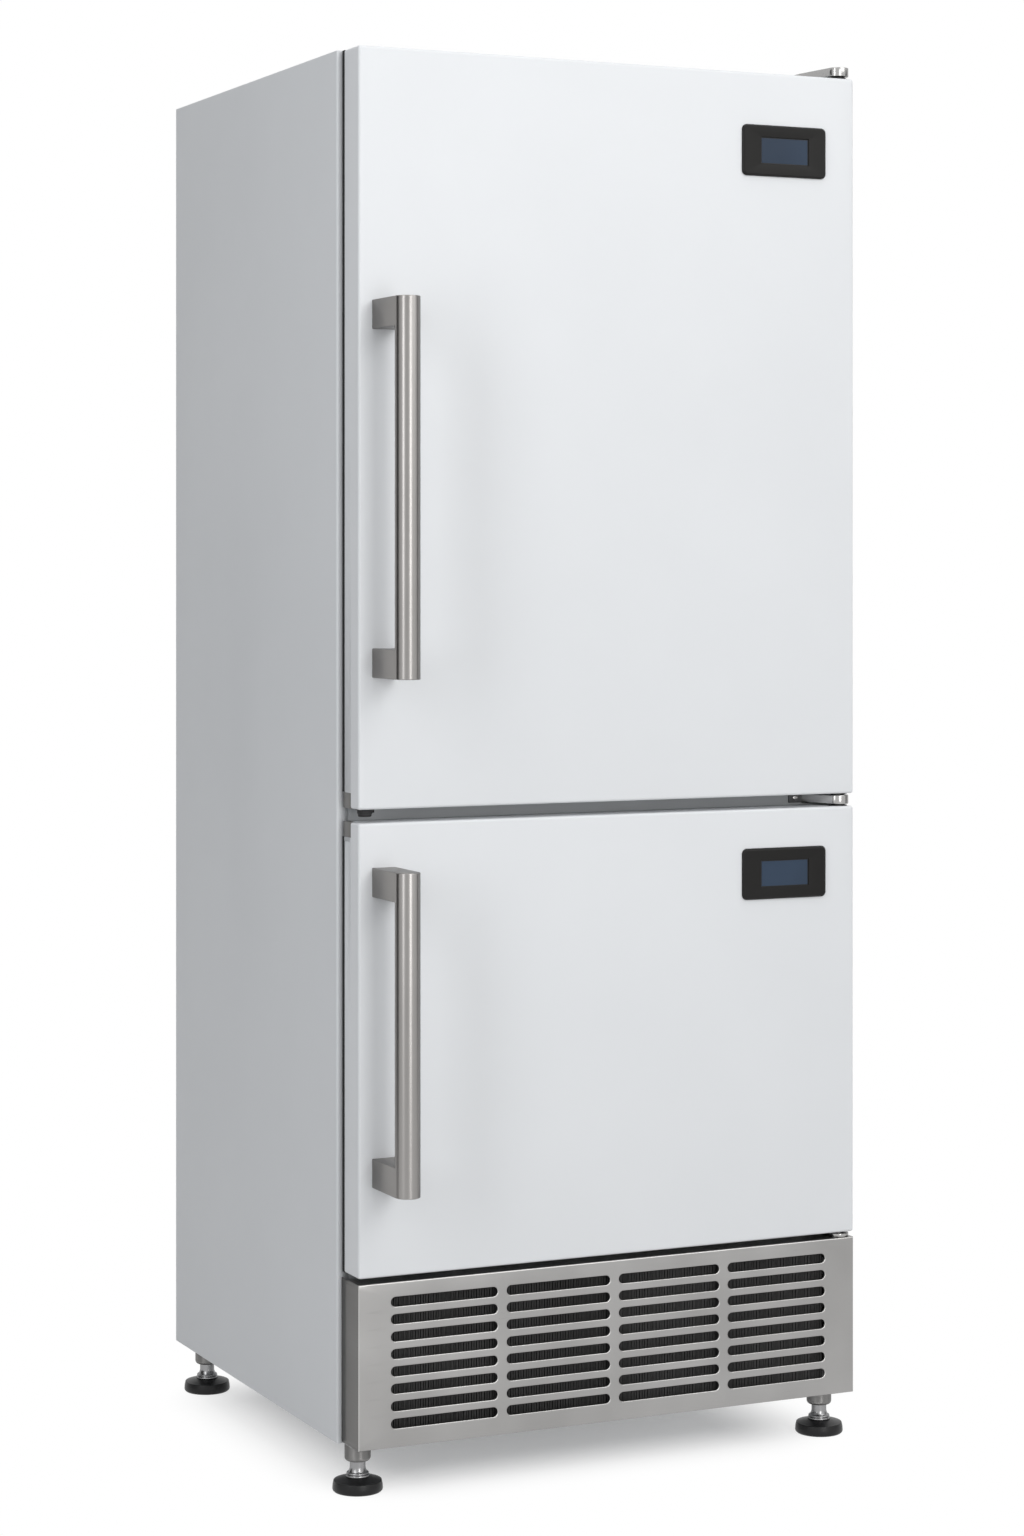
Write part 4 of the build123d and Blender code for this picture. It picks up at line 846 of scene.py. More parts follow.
def screwLump(x, y, z, axis):
    # a pan-head screw: a low dome with a round recess, standing out along the axis
    r, h = hingeSettings["screw"], hingeSettings["screwHeight"]
    dome = np.array([(r, 0), (r, 0.35 * h), (0.86 * r, 0.78 * h), (0.6 * r, h), (0.46 * r, h),
                     (0.44 * r, 0.45 * h), (0.05, 0.4 * h)]) * mm
    if axis == "y":
        dome[:, 1] *= -1
    return latheLump(dome, (x * mm, y * mm, z * mm), 36, axis=axis)


def pinLump(low, high):
    # a round pin with a small chamfer at each end
    s = hingeSettings
    r, c = s["pin"] * mm, s["pinChamfer"] * mm
    return latheLump([(r - c, low), (r, low + c), (r, high - c), (r - c, high)],
                     (s["pinX"] * mm, s["pinY"] * mm, 0), 48)


def topHinge():
    # arm on a foot block that rests on the cabinet, with two screws down into it, and the pin below
    low, high = ends("top_hinge")
    s = hingeSettings
    armLow = high[2] - s["thick"] * mm
    footLow = np.array([low[0], s["footFront"] * mm, ends("top_panel")[1][2]])
    footHigh = np.array([high[0], high[1], armLow + mm])
    lumps = [plateLump(armOutline(high[1] / mm), armLow, high[2], s["edge"] * mm),
             blockLump(footLow, footHigh, 1.0 * mm, edge=0.3 * mm), pinLump(low[2], armLow + mm)]
    lumps += [screwLump(s["screwsX"], y, high[2] / mm - 0.2 - s["screwHeight"], "z") for y in s["screwsY"]]
    piece = makePiece("topHingeArm", lumps, materials["hingeChrome"], smoothAngle=30)
    attach(piece, "cabinet", "hinge_chrome", "top_hinge")


def middleHinge():
    # arm from a plate on the frame between the doors, dark as painted shade; its pin serves the door above
    # and below
    low, high = ends("middle_hinge")
    s = hingeSettings
    middle = (low[2] + high[2]) / 2
    half, plateHalf = s["thick"] / 2 * mm, s["plateHalf"] * mm
    front = high[1] - s["plate"] * mm
    outline = wedgeOutline(low[0] / mm + s["wedgeInset"], high[1] / mm)
    plateLow = np.array([low[0], front, middle - plateHalf])
    plateHigh = np.array([high[0] - s["plate"] * mm, high[1], middle + plateHalf])
    lumps = [plateLump(outline, middle - half, middle + half, s["edge"] * mm),
             blockLump(plateLow, plateHigh, s["plateRound"] * mm, edge=s["plateEdge"] * mm),
             pinLump(low[2], high[2]),
             screwLump(low[0] / mm + s["plateScrew"], front / mm, middle / mm + 1, "y")]
    piece = makePiece("middleHingeArm", lumps, materials["hingeChrome"], smoothAngle=30)
    slack = 0.01 * mm
    # painted shade: the plate gets the dark paint that stands in for the shade between the doors
    finishFaces(piece, materials["hingeBase"], lambda centres, normals, areas: centres[:, 1] > front - slack)
    finishFaces(piece, materials["hingeBrushed"],  # painted highlight: brighter metal on the arm's long straight side
                lambda centres, normals, areas: ((centres[:, 1] < front - slack) & (normals[:, 0] < -0.5)
                                                 & (areas > s["sideArea"] * mm * mm)))
    attach(piece, "cabinet", "hinge_chrome", "middle_hinge")


def bottomHinge():
    # thin arm above the plinth, from a plate on the frame, with the pin standing up
    low, high = ends("bottom_hinge")
    s = hingeSettings
    armHigh = s["bottomArm"] * mm
    plateLow = np.array([low[0], high[1] - s["plate"] * mm, low[2]])
    plateHigh = np.array([high[0], high[1], armHigh])
    lumps = [plateLump(armOutline(high[1] / mm), armHigh - s["bottomThick"] * mm, armHigh, 0.6 * mm),
             blockLump(plateLow, plateHigh, s["plateRound"] * mm, edge=s["plateEdge"] * mm),
             pinLump(armHigh - mm, high[2])]
    piece = makePiece("bottomHingeArm", lumps, materials["hingeChrome"], smoothAngle=30)
    attach(piece, "cabinet", "hinge_chrome", "bottom_hinge")


topHinge()
middleHinge()
bottomHinge()
print("hinges made")

# cabinet panels
panelSettings = {"fold": 3.0, "sheet": 1.2, "steps": 6, "topFold": 1.4, "backFold": 1.2, "hem": 1.2,
                 "lip": 10.0}


def arcCorner(x, y, radius, start):
    # quarter circle about (x, y), from the start angle onwards
    turn = np.radians(start) + np.linspace(0, np.pi / 2, panelSettings["steps"] + 1)
    return np.stack([x + radius * np.cos(turn), y + radius * np.sin(turn)], -1)


def sidePanel(name, side):
    # in plan: front flange, fold, side, fold, back flange; this profile rises from a lip and a hem at the
    # bottom to the top fold, each point moving along a quarter circle at both, and a flat cap closes the top
    low, high = ends(f"{name}_side_panel")
    s = panelSettings
    outside, inside = (low[0], high[0]) if side < 0 else (high[0], low[0])
    fold, backFold, topFold, hem = s["fold"] * mm, s["backFold"] * mm, s["topFold"] * mm, s["hem"] * mm
    front = arcCorner(fold, low[1] + fold, fold, 180)[::-1]
    back = arcCorner(backFold, high[1] - backFold, backFold, 90)[::-1]
    width = abs(inside - outside)
    plan = np.concatenate([[[width, low[1]]], front, back, [[width, high[1]]]])
    turn = np.linspace(0, np.pi / 2, s["steps"] + 1)
    inset = np.concatenate([[s["lip"] * mm], hem * (1 - np.sin(turn)), topFold * (1 - np.cos(turn))])[:, None]
    level = np.concatenate([[low[2]], low[2] + hem * (1 - np.cos(turn)),
                            high[2] - topFold + topFold * np.sin(turn)])
    across = np.minimum(np.maximum(plan[None, :, 0], inset), width)
    deep = np.clip(plan[None, :, 1], low[1] + inset, high[1] - inset)
    points = np.stack([outside - side * across, deep, np.repeat(level[:, None], len(plan), 1)], -1)
    piece = makePiece(f"{name}SidePanel", [gridLump(points, capEnd=True)], materials["cabinetPaint"],
                      weld=0.001 * mm)
    turnOutwards(piece, Vector(((outside + inside) / 2, 0, high[2] - 20 * mm)))
    addSolidify(piece, s["sheet"] * mm)
    attach(piece, "cabinet", "cabinet_paint", f"{name}_side_panel")


def topPanel():
    # profile from front to back, carried across: flange, fold, top, fold, flange
    low, high = ends("top_panel")
    s = panelSettings
    fold, backFold = s["fold"] * mm, s["backFold"] * mm
    front = arcCorner(low[1] + fold, high[2] - fold, fold, 90)[::-1]
    back = arcCorner(high[1] - backFold, high[2] - backFold, backFold, 0)[::-1]
    profile = np.concatenate([[[low[1], low[2]]], front, back, [[high[1], low[2]]]])
    points = np.stack([np.column_stack([np.full(len(profile), x), profile]) for x in (low[0], high[0])])
    piece = makePiece("topPanelSheet", [gridLump(points)], materials["cabinetPaint"])
    turnOutwards(piece, Vector((0, 0, low[2])))
    addSolidify(piece, s["sheet"] * mm)
    attach(piece, "cabinet", "cabinet_paint", "top_panel")


sidePanel("left", -1)
sidePanel("right", 1)
topPanel()
print("cabinet panels made")

# tubs inside the two compartments
tubSettings = {"wall": 1.0, "corner": 14.0, "mouth": 2.5, "steps": 6, "portHole": 15.4}


def tub(name, hasPort):
    # loops of one rounded rectangle run back from the mouth, close in along a quarter circle, and end in the
    # back wall; around the cable port each point of the last loop meets a circle's point at the same angle
    low, high = ends(f"{name}_liner")
    s = tubSettings
    wall, corner, mouth = s["wall"] * mm, s["corner"] * mm, s["mouth"] * mm
    left, right, bottom, top = low[0] + wall, high[0] - wall, low[2] + wall, high[2] - wall
    back = high[1] - wall
    turn = np.linspace(0, np.pi / 2, s["steps"] + 1)
    gaps = np.concatenate([np.maximum(-mouth * (1 - np.sin(turn)), -0.9 * wall), corner * (1 - np.cos(turn))])
    deep = np.concatenate([low[1] + mouth * (1 - np.cos(turn)), back - corner + corner * np.sin(turn)])
    loops = [standing(roundedLoop(left + gap, right - gap, bottom + gap, top - gap,
                                  max(corner - gap, 0.02 * mm), s["steps"]), y) for gap, y in zip(gaps, deep)]
    if hasPort:
        centre = sum(ends("cable_port"))[[0, 2]] / 2
        angle = np.arctan2(loops[-1][:, 2] - centre[1], loops[-1][:, 0] - centre[0])
        circle = np.stack([np.cos(angle), np.sin(angle)], -1)
        loops.append(standing(centre + s["portHole"] * mm * circle, back))
    piece = makePiece(f"{name}Tub", [gridLump(np.array(loops), closedV=True, capEnd=not hasPort)],
                      materials["linerPlastic"], recalc=False)
    turnOutwards(piece, Vector((0, 3.0, (low[2] + high[2]) / 2)))
    addSolidify(piece, 0.9 * wall)
    attach(piece, "cabinet", "liner_plastic", f"{name}_liner")


tub("fridge", True)
tub("freezer", False)

portSettings = {"bore": 12.7, "sleeve": 15.2}


def cablePort():
    # turned sleeve with a flat round flange inside and outside: one closed profile about the bore
    low, high = ends("cable_port")
    bore, sleeve = portSettings["bore"], portSettings["sleeve"]
    front, back = low[1] / mm, high[1] / mm
    profile = [(bore, front + 0.6), (bore + 0.6, front), (21.0, front - 1.6), (22.6, front - 0.7),
               (22.8, front), (sleeve, front), (sleeve, back - 1.2), (23.0, back - 1.2), (23.0, back - 0.5),
               (22.2, back), (bore + 0.6, back), (bore, back - 0.6)]
    centre = ((low[0] + high[0]) / 2, 0, (low[2] + high[2]) / 2)
    lump = latheLump(np.array(profile) * mm, centre, 64, axis="y", closed=True)
    piece = makePiece("cablePortSleeve", [lump], materials["portPlastic"])
    attach(piece, "cabinet", "port_plastic", "cable_port")


cablePort()
print("compartments made")

# inner sides of the doors
linerSettings = {"sheet": 1.5, "rimCorner": 26.0, "rimEdge": 0.3, "base": 11.0, "taper": 6.0, "frame": 34.0,
                 "pocket": 14.0, "corner": 22.0, "foot": 2.5, "soft": 5.0, "wall": 1.0, "steps": 8}


def doorInner(name, floorNode):
    # loops of one rounded rectangle: rim, foot of the raised frame, its crest, the pocket's wall and floor;
    # foot and soft are the sizes of the rounded turns between them
    low, high = ends(f"{name}_door_liner")
    roomLow, roomHigh = ends(floorNode)
    s = linerSettings
    base, wide, foot, soft = s["base"] * mm, s["frame"] * mm, s["foot"] * mm, s["soft"] * mm
    corner, rimCorner, edge = s["corner"] * mm, s["rimCorner"] * mm, s["rimEdge"] * mm
    rim, crest = low[1] + s["sheet"] * mm, high[1]
    pocket = crest - s["pocket"] * mm
    lean = (crest - rim) * math.tan(math.radians(s["taper"]))
    x, bottom, top = roomHigh[0] - base, roomLow[2] + base, roomHigh[2] - base
    turn = np.linspace(0, np.pi / 2, 5)
    rise, run = 1 - np.cos(turn), 1 - np.sin(turn)

    def loop(halfX, zLow, zHigh, radius, y):  # one rounded rectangle about the middle
        return standing(roundedLoop(-halfX, halfX, zLow, zHigh, max(radius, 0.5 * mm), s["steps"]), y)

    # up from the foot, over the crest, down into the pocket and out onto its floor
    gaps = np.concatenate([-foot * run, lean + soft * rise, wide - soft * run, wide + soft * rise])
    levels = np.concatenate([rim + foot * rise, crest - soft * run, crest - soft * rise, pocket + soft * run])
    corners = np.where(np.arange(len(gaps)) < 2 * len(turn), corner - gaps, corner)
    loops = [loop(high[0], low[2], high[2], rimCorner, low[1]),
             loop(high[0], low[2], high[2], rimCorner, rim - edge),
             loop(high[0] - edge, low[2] + edge, high[2] - edge, rimCorner, rim)]
    loops += [loop(x - gap, bottom + gap, top - gap, radius, y)
              for gap, y, radius in zip(gaps, levels, corners)]
    piece = makePiece(f"{name}DoorInner", [gridLump(np.array(loops), closedV=True, capEnd=True)],
                      materials["linerPlastic"], weld=0.001 * mm, recalc=False)
    turnOutwards(piece, Vector((0, -2.0, (low[2] + high[2]) / 2)))
    addSolidify(piece, s["wall"] * mm)
    attach(piece, f"{name}_door", "liner_plastic", f"{name}_door_liner")


doorInner("upper", "fridge_liner")
doorInner("lower", "freezer_liner")

# each point is (distance in from the edge, distance out from the door)
gasketProfile = [(0, 0), (16, 0), (16, 1.2), (15.4, 1.8), (12.2, 2.2), (11.4, 3.0), (13.4, 3.7), (15.2, 4.3),
                 (16, 5.3), (16, 7.0), (15.3, 7.9), (13.8, 8.2), (2.2, 8.2), (0.7, 7.9), (0, 7.0), (0, 5.3),
                 (0.8, 4.3), (2.6, 3.7), (4.6, 3.0), (3.8, 2.2), (0.6, 1.8), (0, 1.2)]


def doorGasket(name):
    # the bellows profile carried round a rectangle: each profile point gives one rectangle, set in by its
    # first number, so that the corners are mitred as a welded gasket's are
    low, high = ends(f"{name}_door_gasket")
    profile = np.array(gasketProfile) * mm
    profile[:, 1] *= (high[1] - low[1]) / profile[:, 1].max()
    corners = np.array([[1, 1], [0, 1], [0, 0], [1, 0]], float)
    parts = np.linspace(0, 1, 13)[:-1, None]
    frameLine = np.concatenate([a + (b - a) * parts for a, b in zip(corners, np.roll(corners, -1, 0))])
    x = low[0] + profile[:, :1] + frameLine[None, :, 0] * (high[0] - low[0] - 2 * profile[:, :1])
    z = low[2] + profile[:, :1] + frameLine[None, :, 1] * (high[2] - low[2] - 2 * profile[:, :1])
    y = np.repeat(low[1] + profile[:, 1:], frameLine.shape[0], 1)
    piece = makePiece(f"{name}DoorGasket", [gridLump(np.stack([x, y, z], -1), closedU=True, closedV=True)],
                      materials["gasketRubber"], smoothAngle=50)
    attach(piece, f"{name}_door", "gasket_rubber", f"{name}_door_gasket")


doorGasket("upper")
doorGasket("lower")
print("door insides made")

# wire shelves
shelfSettings = {"rail": 3.9, "wire": 1.9, "corner": 22.0, "wires": 23, "bars": 2, "bar": 2.4}


def wireShelf(node):
    # a round rail along a rounded rectangle, thin wires from front to back on top of it, and two bars below
    low, high = ends(node)
    s = shelfSettings
    rail, wire, bar = s["rail"] * mm, s["wire"] * mm, s["bar"] * mm
    outline = roundedLoop(low[0] + rail, high[0] - rail, low[1] + rail, high[1] - rail, s["corner"] * mm, 8)
    path = np.column_stack([outline, np.full(len(outline), (low[2] + high[2]) / 2)])
    lumps = [tubeLump(path, rail, 14, closed=True)]
    inner = high[0] - 2 * rail
    ring = circleLoop(8) * wire
    wireEnds = np.array([[low[1] + rail], [high[1] - rail]])
    for x in (np.arange(s["wires"]) - (s["wires"] - 1) / 2) * 2 * inner / (s["wires"] + 1):
        flat = np.tile(ring + (x, high[2] - wire), (2, 1, 1))
        lumps.append(solidLump(standing(flat, wireEnds)))
    for share in (np.arange(s["bars"]) + 1) / (s["bars"] + 1):
        y = low[1] + (high[1] - low[1]) * share
        line = np.array([[x, y, low[2] + bar] for x in (low[0] + rail, 0, high[0] - rail)])
        lumps.append(tubeLump(line, bar, 10))
    piece = makePiece(node.replace("_", "") + "Wires", lumps, materials["shelfSteel"], smoothAngle=50)
    attach(piece, "cabinet", "shelf_steel", node)


for node in frame["nodes"]:
    if "_shelf_" in node:
        wireShelf(node)
print("shelves made")

# fans
fanSettings = {"hub": 22.0, "hubEdge": 2.5, "bore": 4.1, "blades": 5, "rootTurn": 40.0, "tipTurn": 21.0,
               "rootChord": 27.0, "tipChord": 52.0, "sweep": 16.0, "thick": 1.8, "bow": 2.0, "tipGap": 0.5,
               "rootSunk": 1.5, "clear": 1.2}


def axialFan(node):
    # hub turned about the shaft, and blades on a grid of radius and chord: the chord turns from steep at the
    # hub to shallow at the tip, is swept along by a share of the radius, and bows like a shallow arc
    low, high = ends(node)
    s = fanSettings
    centre = (low + high) / 2
    depth = (high[1] - low[1]) / mm / 2
    tip = (high[2] - low[2]) / mm / 2 - s["tipGap"]
    r, bore, edge = s["hub"], s["bore"], s["hubEdge"]
    hub = [(bore, -depth), (r - edge, -depth), (r - 0.3 * edge, -depth + 0.3 * edge), (r, -depth + edge),
           (r, depth - edge), (r - 0.3 * edge, depth - 0.3 * edge), (r - edge, depth), (bore, depth)]
    lumps = [latheLump(np.array(hub) * mm, centre, 48, axis="y", closed=True)]
    radius = np.linspace(r - s["rootSunk"], tip, 12)
    share = (radius - radius[0]) / (radius[-1] - radius[0])
    turn = np.radians(s["rootTurn"] + (s["tipTurn"] - s["rootTurn"]) * share)
    chord = s["rootChord"] + (s["tipChord"] - s["rootChord"]) * share
    across = np.linspace(-0.5, 0.5, 11)
    around = chord[:, None] * across[None] * np.cos(turn)[:, None]
    deep = chord[:, None] * across[None] * np.sin(turn)[:, None] + s["bow"] * (1 - 4 * across[None] ** 2)
    deep *= min(1.0, (depth - s["clear"]) / np.abs(deep).max())
    half = s["thick"] / 2 * np.sqrt(np.maximum(1 - (1.96 * across) ** 2, 0.05))[None]
    angle = around / radius[:, None] + np.radians(s["sweep"]) * share[:, None]
    for k in range(s["blades"]):
        whole = angle + 2 * np.pi * k / s["blades"]
        x = radius[:, None] * np.cos(whole)
        z = radius[:, None] * np.sin(whole)
        front = np.stack([x, deep - half, z], -1)
        rear = np.stack([x, deep + half, z], -1)
        lumps.append(solidLump(np.concatenate([front, rear[:, ::-1]], 1) * mm + centre))
    piece = makePiece(node.replace("_fan", "") + "FanWheel", lumps, materials["fanPlastic"], smoothAngle=45)
    attach(piece, node, "fan_plastic", node)


for node in ("fridge_fan", "freezer_fan", "condenser_fan"):
    axialFan(node)
print("fans made")

# bushes and the plug of the spare hinge hole
bushSettings = {"bore": 5.05, "sleeve": 8.0, "length": 20.0, "neck": 9.6, "flange": 12.2, "flangeThick": 1.0,
                "spareReach": 2.0, "ribs": 26, "ribDepth": 0.35}


def bushLump(face, outwards, reach):
    # turned bush: sleeve inside the door, flange on the door's face, a thinner neck out to the arm; each
    # profile point is (radius, distance out from the face)
    s = bushSettings
    bore, sleeve, neck, flange, length = s["bore"], s["sleeve"], s["neck"], s["flange"], s["length"]
    thick = min(s["flangeThick"], reach * 0.6)
    profile = np.array([(bore, -length), (sleeve, -length), (sleeve, 0), (flange, 0), (flange, thick * 0.7),
                        (flange - 0.3, thick), (neck, thick), (neck, reach - 0.3), (neck - 0.3, reach),
                        (bore + 0.3, reach), (bore, reach - 0.3)])
    profile = profile * (1, outwards) + (0, face)
    centre = (hingeSettings["pinX"] * mm, hingeSettings["pinY"] * mm, 0)
    return latheLump(profile * mm, centre, 48, closed=True)


def doorBushes(name):
    # a bush in the door's top and in its bottom, and on the upper door the plug of the spare hole as well
    low, high = ends(f"{name}_door_skin")
    bottom, top = low[2] / mm, high[2] / mm
    allLow, allHigh = ends(f"{name}_door_bushes")
    lumps = [bushLump(top, 1, allHigh[2] / mm - top)]
    if name == "upper":
        lumps.append(bushLump(bottom, -1, bushSettings["spareReach"]))
        lumps += plugLumps(bottom)
    else:
        lumps.append(bushLump(bottom, -1, bottom - allLow[2] / mm))
    piece = makePiece(f"{name}DoorBushes", lumps, materials["blackPlastic"], smoothAngle=30)
    attach(piece, f"{name}_door", "black_plastic", f"{name}_door_bushes")


def plugLumps(bottom):
    # stepped plug: its radius follows the profile, and rises and falls a little round the ribbed part
    s = bushSettings
    x, y = -hingeSettings["pinX"], hingeSettings["pinY"]
    profile = np.array([(7.2, -9.8), (8.2, -9.4), (8.6, -8.6), (8.6, -6.2), (9.5, -5.8), (9.7, -5.2),
                        (9.7, -1.4), (11.6, -1.2), (12.0, -0.7), (12.0, 0), (8.0, 0), (8.0, s["length"])])
    ribbed = (profile[:, 1:] <= -1.4) & (profile[:, 1:] >= -9.0)
    count = s["ribs"] * 6
    angle = np.linspace(0, 2 * np.pi, count, endpoint=False)
    radius = profile[:, :1] - ribbed * s["ribDepth"] * (0.5 - 0.5 * np.cos(s["ribs"] * angle))[None]
    points = np.stack([x + radius * np.cos(angle), y + radius * np.sin(angle),
                       np.repeat(bottom + profile[:, 1:], count, 1)], -1)
    step = blockLump(np.array([x, y - 3, bottom - 4.9]) * mm, np.array([x + 12, y + 3, bottom]) * mm,
                     0.8 * mm, edge=0.4 * mm)
    return [solidLump(points * mm), step]


doorBushes("upper")
doorBushes("lower")
print("bushes made")

# compressors
compressorSettings = {"radius": 70.0, "height": 150.0, "dome": 46.0, "seam": 2.2, "seamHeight": 74.0,
                      "plate": (190.0, 120.0, 4.0), "plateCorner": 14.0, "plateEdge": 0.6,
                      "grommet": 11.0, "grommetDrop": 16.0, "grommetInset": 18.0}


def compressor(node):
    # turned shell: straight can, a welded seam standing proud, and a dome on a quarter ellipse; below it a
    # foot plate with round rubber grommets
    low, high = ends(node)
    s = compressorSettings
    radius, dome, seam, r, drop = s["radius"], s["dome"], s["seam"], s["grommet"], s["grommetDrop"]
    x, y = (low[:2] + high[:2]) / 2
    top = high[2] / mm
    base = top - s["height"]
    seamLevel = base + s["seamHeight"]
    turn = np.linspace(0, np.pi / 2, 12)[:-1]
    can = [(radius - 6, base + 1), (radius - 1.5, base + 5), (radius - seam, base + 10),
           (radius - seam, seamLevel - 3), (radius - 0.4, seamLevel - 1.6), (radius, seamLevel),
           (radius - 0.4, seamLevel + 1.6), (radius - seam, seamLevel + 3)]
    cap = np.stack([radius * np.cos(turn) ** 0.8 - seam * np.cos(turn), top - dome + dome * np.sin(turn)], -1)
    lumps = [latheLump(np.concatenate([can, cap]) * mm, (x, y, 0), 64)]
    width, deep, sheet = s["plate"]
    halfX, halfY, inset = width / 2 * mm, deep / 2 * mm, s["grommetInset"] * mm
    lumps.append(blockLump(np.array([x - halfX, y - halfY, base * mm]),
                           np.array([x + halfX, y + halfY, (base + sheet) * mm]),
                           s["plateCorner"] * mm, edge=s["plateEdge"] * mm))
    rubber = np.array([(r - 1, base - drop), (r, base - drop + 1), (r, base - 10), (r - 3, base - 8.5),
                       (r - 3, base - 6.5), (r, base - 5), (r, base - 0.8), (r - 0.8, base)]) * mm
    for sideX in (-1, 1):
        for sideY in (-1, 1):
            place = (x + sideX * (halfX - inset), y + sideY * (halfY - inset), 0)
            lumps.append(latheLump(rubber, place, 28))
    piece = makePiece(node.replace("_compressor", "") + "Compressor", lumps, materials["compressorBlack"],
                      smoothAngle=40)
    attach(piece, "cabinet", "compressor_black", node)


compressor("fridge_compressor")
compressor("freezer_compressor")
print("compressors made")

# lamps, world, floor and cards, with their places and sizes in metres
lampSettings = {
    "soft": {"place": (1.6, -3.0, 3.4), "aim": (0.0, -0.3, 1.1), "size": (2.6, 2.4), "power": 45,
             "colour": (1.0, 0.995, 0.985)},
    "front": {"place": (0.0, -4.6, 1.5), "aim": (-0.33, -0.37, 1.1), "size": (1.2, 2.9), "power": 53,
              "colour": (1.0, 0.995, 0.985)},
    "left": {"place": (-2.05, -1.317, 1.7), "aim": (-0.33, -0.37, 1.1), "size": (0.50, 2.3), "power": 13,
             "colour": (0.98, 0.99, 1.0)},
    "top": {"place": (0.0, -0.6, 4.4), "aim": (0.0, -0.1, 1.8), "size": (2.4, 2.4), "power": 26,
            "colour": (1.0, 1.0, 1.0)},
}
for name, lamp in lampSettings.items():
    light = bpy.data.lights.new(f"{name}Lamp", "AREA")
    light.shape = "RECTANGLE"
    light.size, light.size_y = lamp["size"]
    light.energy = lamp["power"]
    light.color = lamp["colour"]
    holder = bpy.data.objects.new(f"{name}Lamp", light)
    holder.location = lamp["place"]
    holder.rotation_euler = (Vector(lamp["aim"]) - Vector(lamp["place"])).to_track_quat("-Z", "Y").to_euler()
    holder.visible_camera = False
    bpy.context.scene.collection.objects.link(holder)

worldSettings = {"light": (0.965, 0.98, 1.0), "strength": 0.372}
world = bpy.data.worlds.new("studio")
world.use_nodes = True
bpy.context.scene.world = world


def addSeenFactor(tree):
    # 1 for rays that come from the camera or from a mirror or clear surface, else 0
    path = addNode(tree, "LightPath")
    last = path.outputs["Is Camera Ray"]
    for kind in ("Is Glossy Ray", "Is Transmission Ray"):
        step = addNode(tree, "Math", sources={0: last, 1: path.outputs[kind]})
        step.operation = "MAXIMUM"
        last = step.outputs[0]
    return last


tree = world.node_tree
soft = tree.nodes["Background"]
soft.inputs["Color"].default_value = (*worldSettings["light"], 1)
soft.inputs["Strength"].default_value = worldSettings["strength"]
white = addNode(tree, "Background", {"Color": (1, 1, 1, 1), "Strength": 1.0})
pick = addNode(tree, "MixShader", sources={0: addSeenFactor(tree), 1: soft.outputs[0], 2: white.outputs[0]})
tree.links.new(pick.outputs[0], tree.nodes["World Output"].inputs["Surface"])


def stageMaterial(name):
    # a material with no nodes in it yet, for a thing of the studio
    material = bpy.data.materials.new(name)
    material.use_nodes = True
    material.node_tree.nodes.clear()
    return material, material.node_tree


floorSettings = {"half": 40.0, "colour": (0.86, 0.86, 0.86), "bounce": (0.60, 0.60, 0.60), "lift": 0.19,
                 "middle": (-0.01, 0.045), "footprint": (0.225, 0.185), "fade": 0.20}


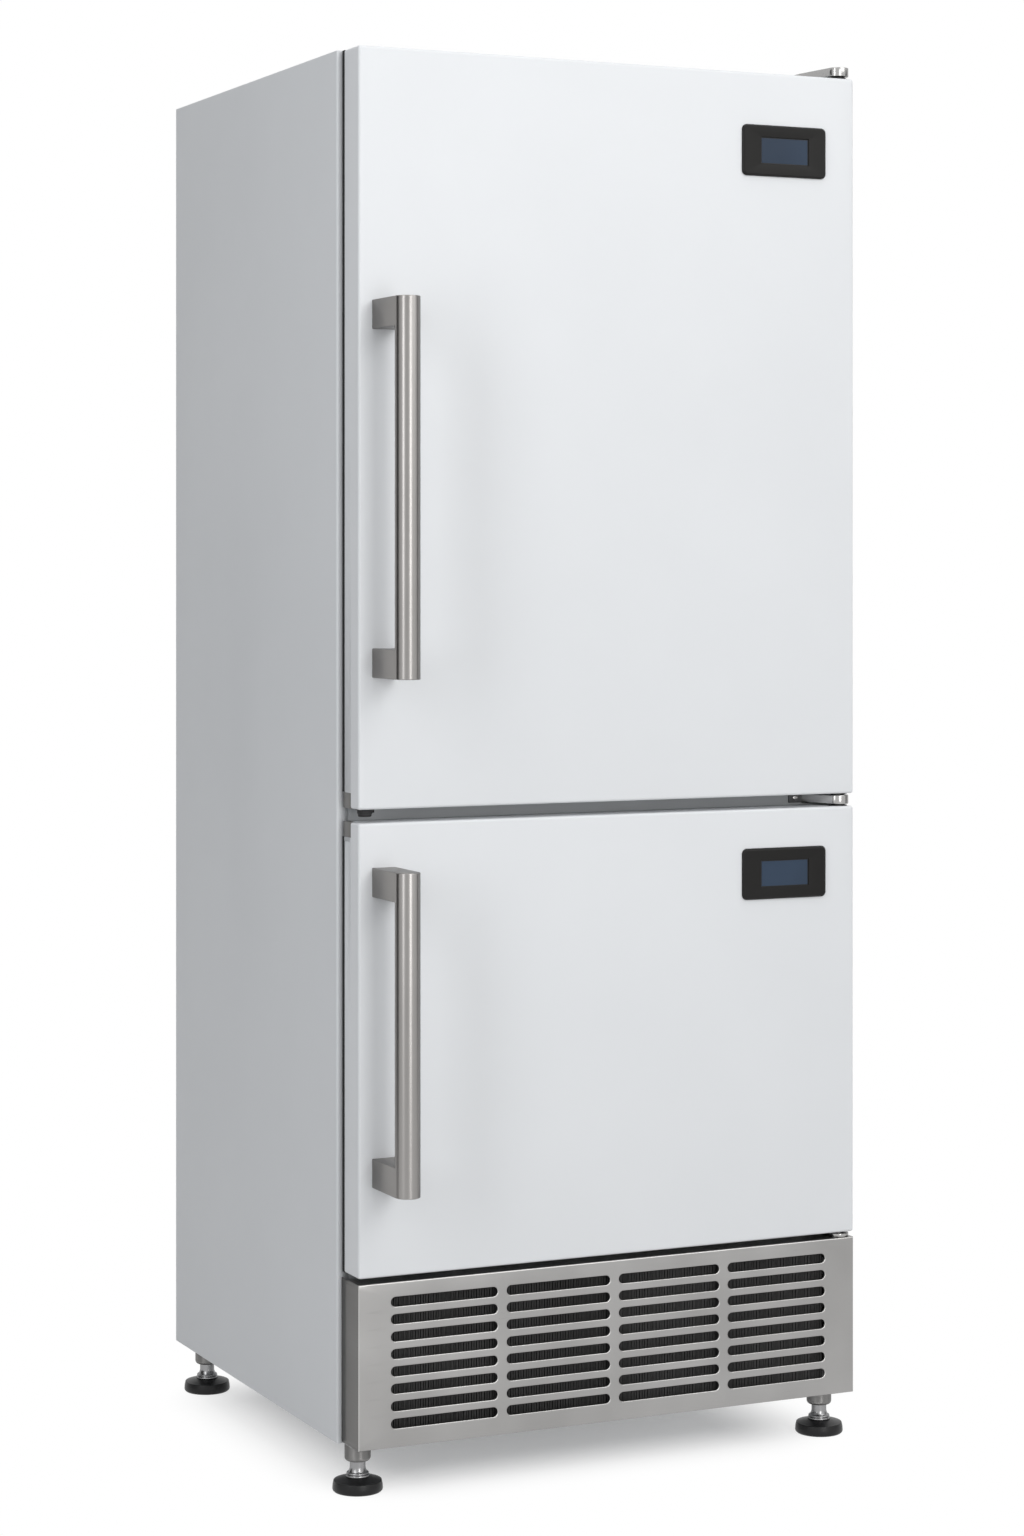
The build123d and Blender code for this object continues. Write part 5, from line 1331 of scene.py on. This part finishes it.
def studioFloor():
    # a wide flat sheet: under the object it is matt and takes the shadow, and it fades to plain white with
    # the distance from the footprint, which is the length of max(|place - middle| - footprint, 0)
    s = floorSettings
    line = np.linspace(-s["half"], s["half"], 9)
    x, y = np.meshgrid(line, line, indexing="ij")
    lump = gridLump(np.stack([x, y, np.zeros_like(x)], -1))
    material, tree = stageMaterial("floorPaper")
    last = addNode(tree, "TexCoord").outputs["Object"]
    for operation, second in (("SUBTRACT", (*s["middle"], 0)), ("ABSOLUTE", None),
                              ("SUBTRACT", (*s["footprint"], 0)), ("MAXIMUM", (0, 0, 0)), ("LENGTH", None)):
        step = addNode(tree, "VectorMath", sources={0: last})
        step.operation = operation
        if second is not None:
            step.inputs[1].default_value = second
        last = step.outputs["Value" if operation == "LENGTH" else "Vector"]
    fade = addNode(tree, "MapRange", {"From Max": s["fade"]}, {"Value": last})
    fade.interpolation_type = "SMOOTHSTEP"
    matt = addNode(tree, "BsdfDiffuse", {"Color": (*s["colour"], 1)})
    lift = addNode(tree, "Emission", {"Strength": s["lift"]})
    near = addNode(tree, "AddShader", sources={0: matt.outputs[0], 1: lift.outputs[0]})
    plain = addNode(tree, "Emission", {"Strength": 1.0})
    dim = addNode(tree, "BsdfDiffuse", {"Color": (*s["bounce"], 1)})  # what the floor throws back up
    faded = addNode(tree, "MixShader",
                    sources={0: fade.outputs["Result"], 1: near.outputs[0], 2: plain.outputs[0]})
    seen = addNode(tree, "MixShader",
                   sources={0: addSeenFactor(tree), 1: dim.outputs[0], 2: faded.outputs[0]})
    addNode(tree, "OutputMaterial", sources={"Surface": seen.outputs[0]})
    floor = makePiece("studioFloor", [lump], material, recalc=False)


cardSettings = {
    "left": {"x": -1.5, "y": (0.02, 1.30), "z": (0.02, 2.4), "grey": 0.05},
    "right": {"x": 3.0, "y": (-1.55, -0.56), "z": (0.02, 2.4), "grey": 0.05},
}


def darkCard(name):
    # an upright dark card beside the object, as used for metal: only reflections see it
    s = cardSettings[name]
    y, z = np.meshgrid(np.linspace(*s["y"], 5), np.linspace(*s["z"], 5), indexing="ij")
    lump = gridLump(np.stack([np.full_like(y, s["x"]), y, z], -1))
    material, tree = stageMaterial(f"{name}CardGrey")
    even = addNode(tree, "Emission", {"Color": (s["grey"], s["grey"], s["grey"], 1)})
    addNode(tree, "OutputMaterial", sources={"Surface": even.outputs[0]})
    card = makePiece(f"{name}Card", [lump], material, recalc=False)
    for ray in ("camera", "diffuse", "shadow", "transmission", "volume_scatter"):
        setattr(card, f"visible_{ray}", False)


studioFloor()
darkCard("left")
darkCard("right")
print("studio made")
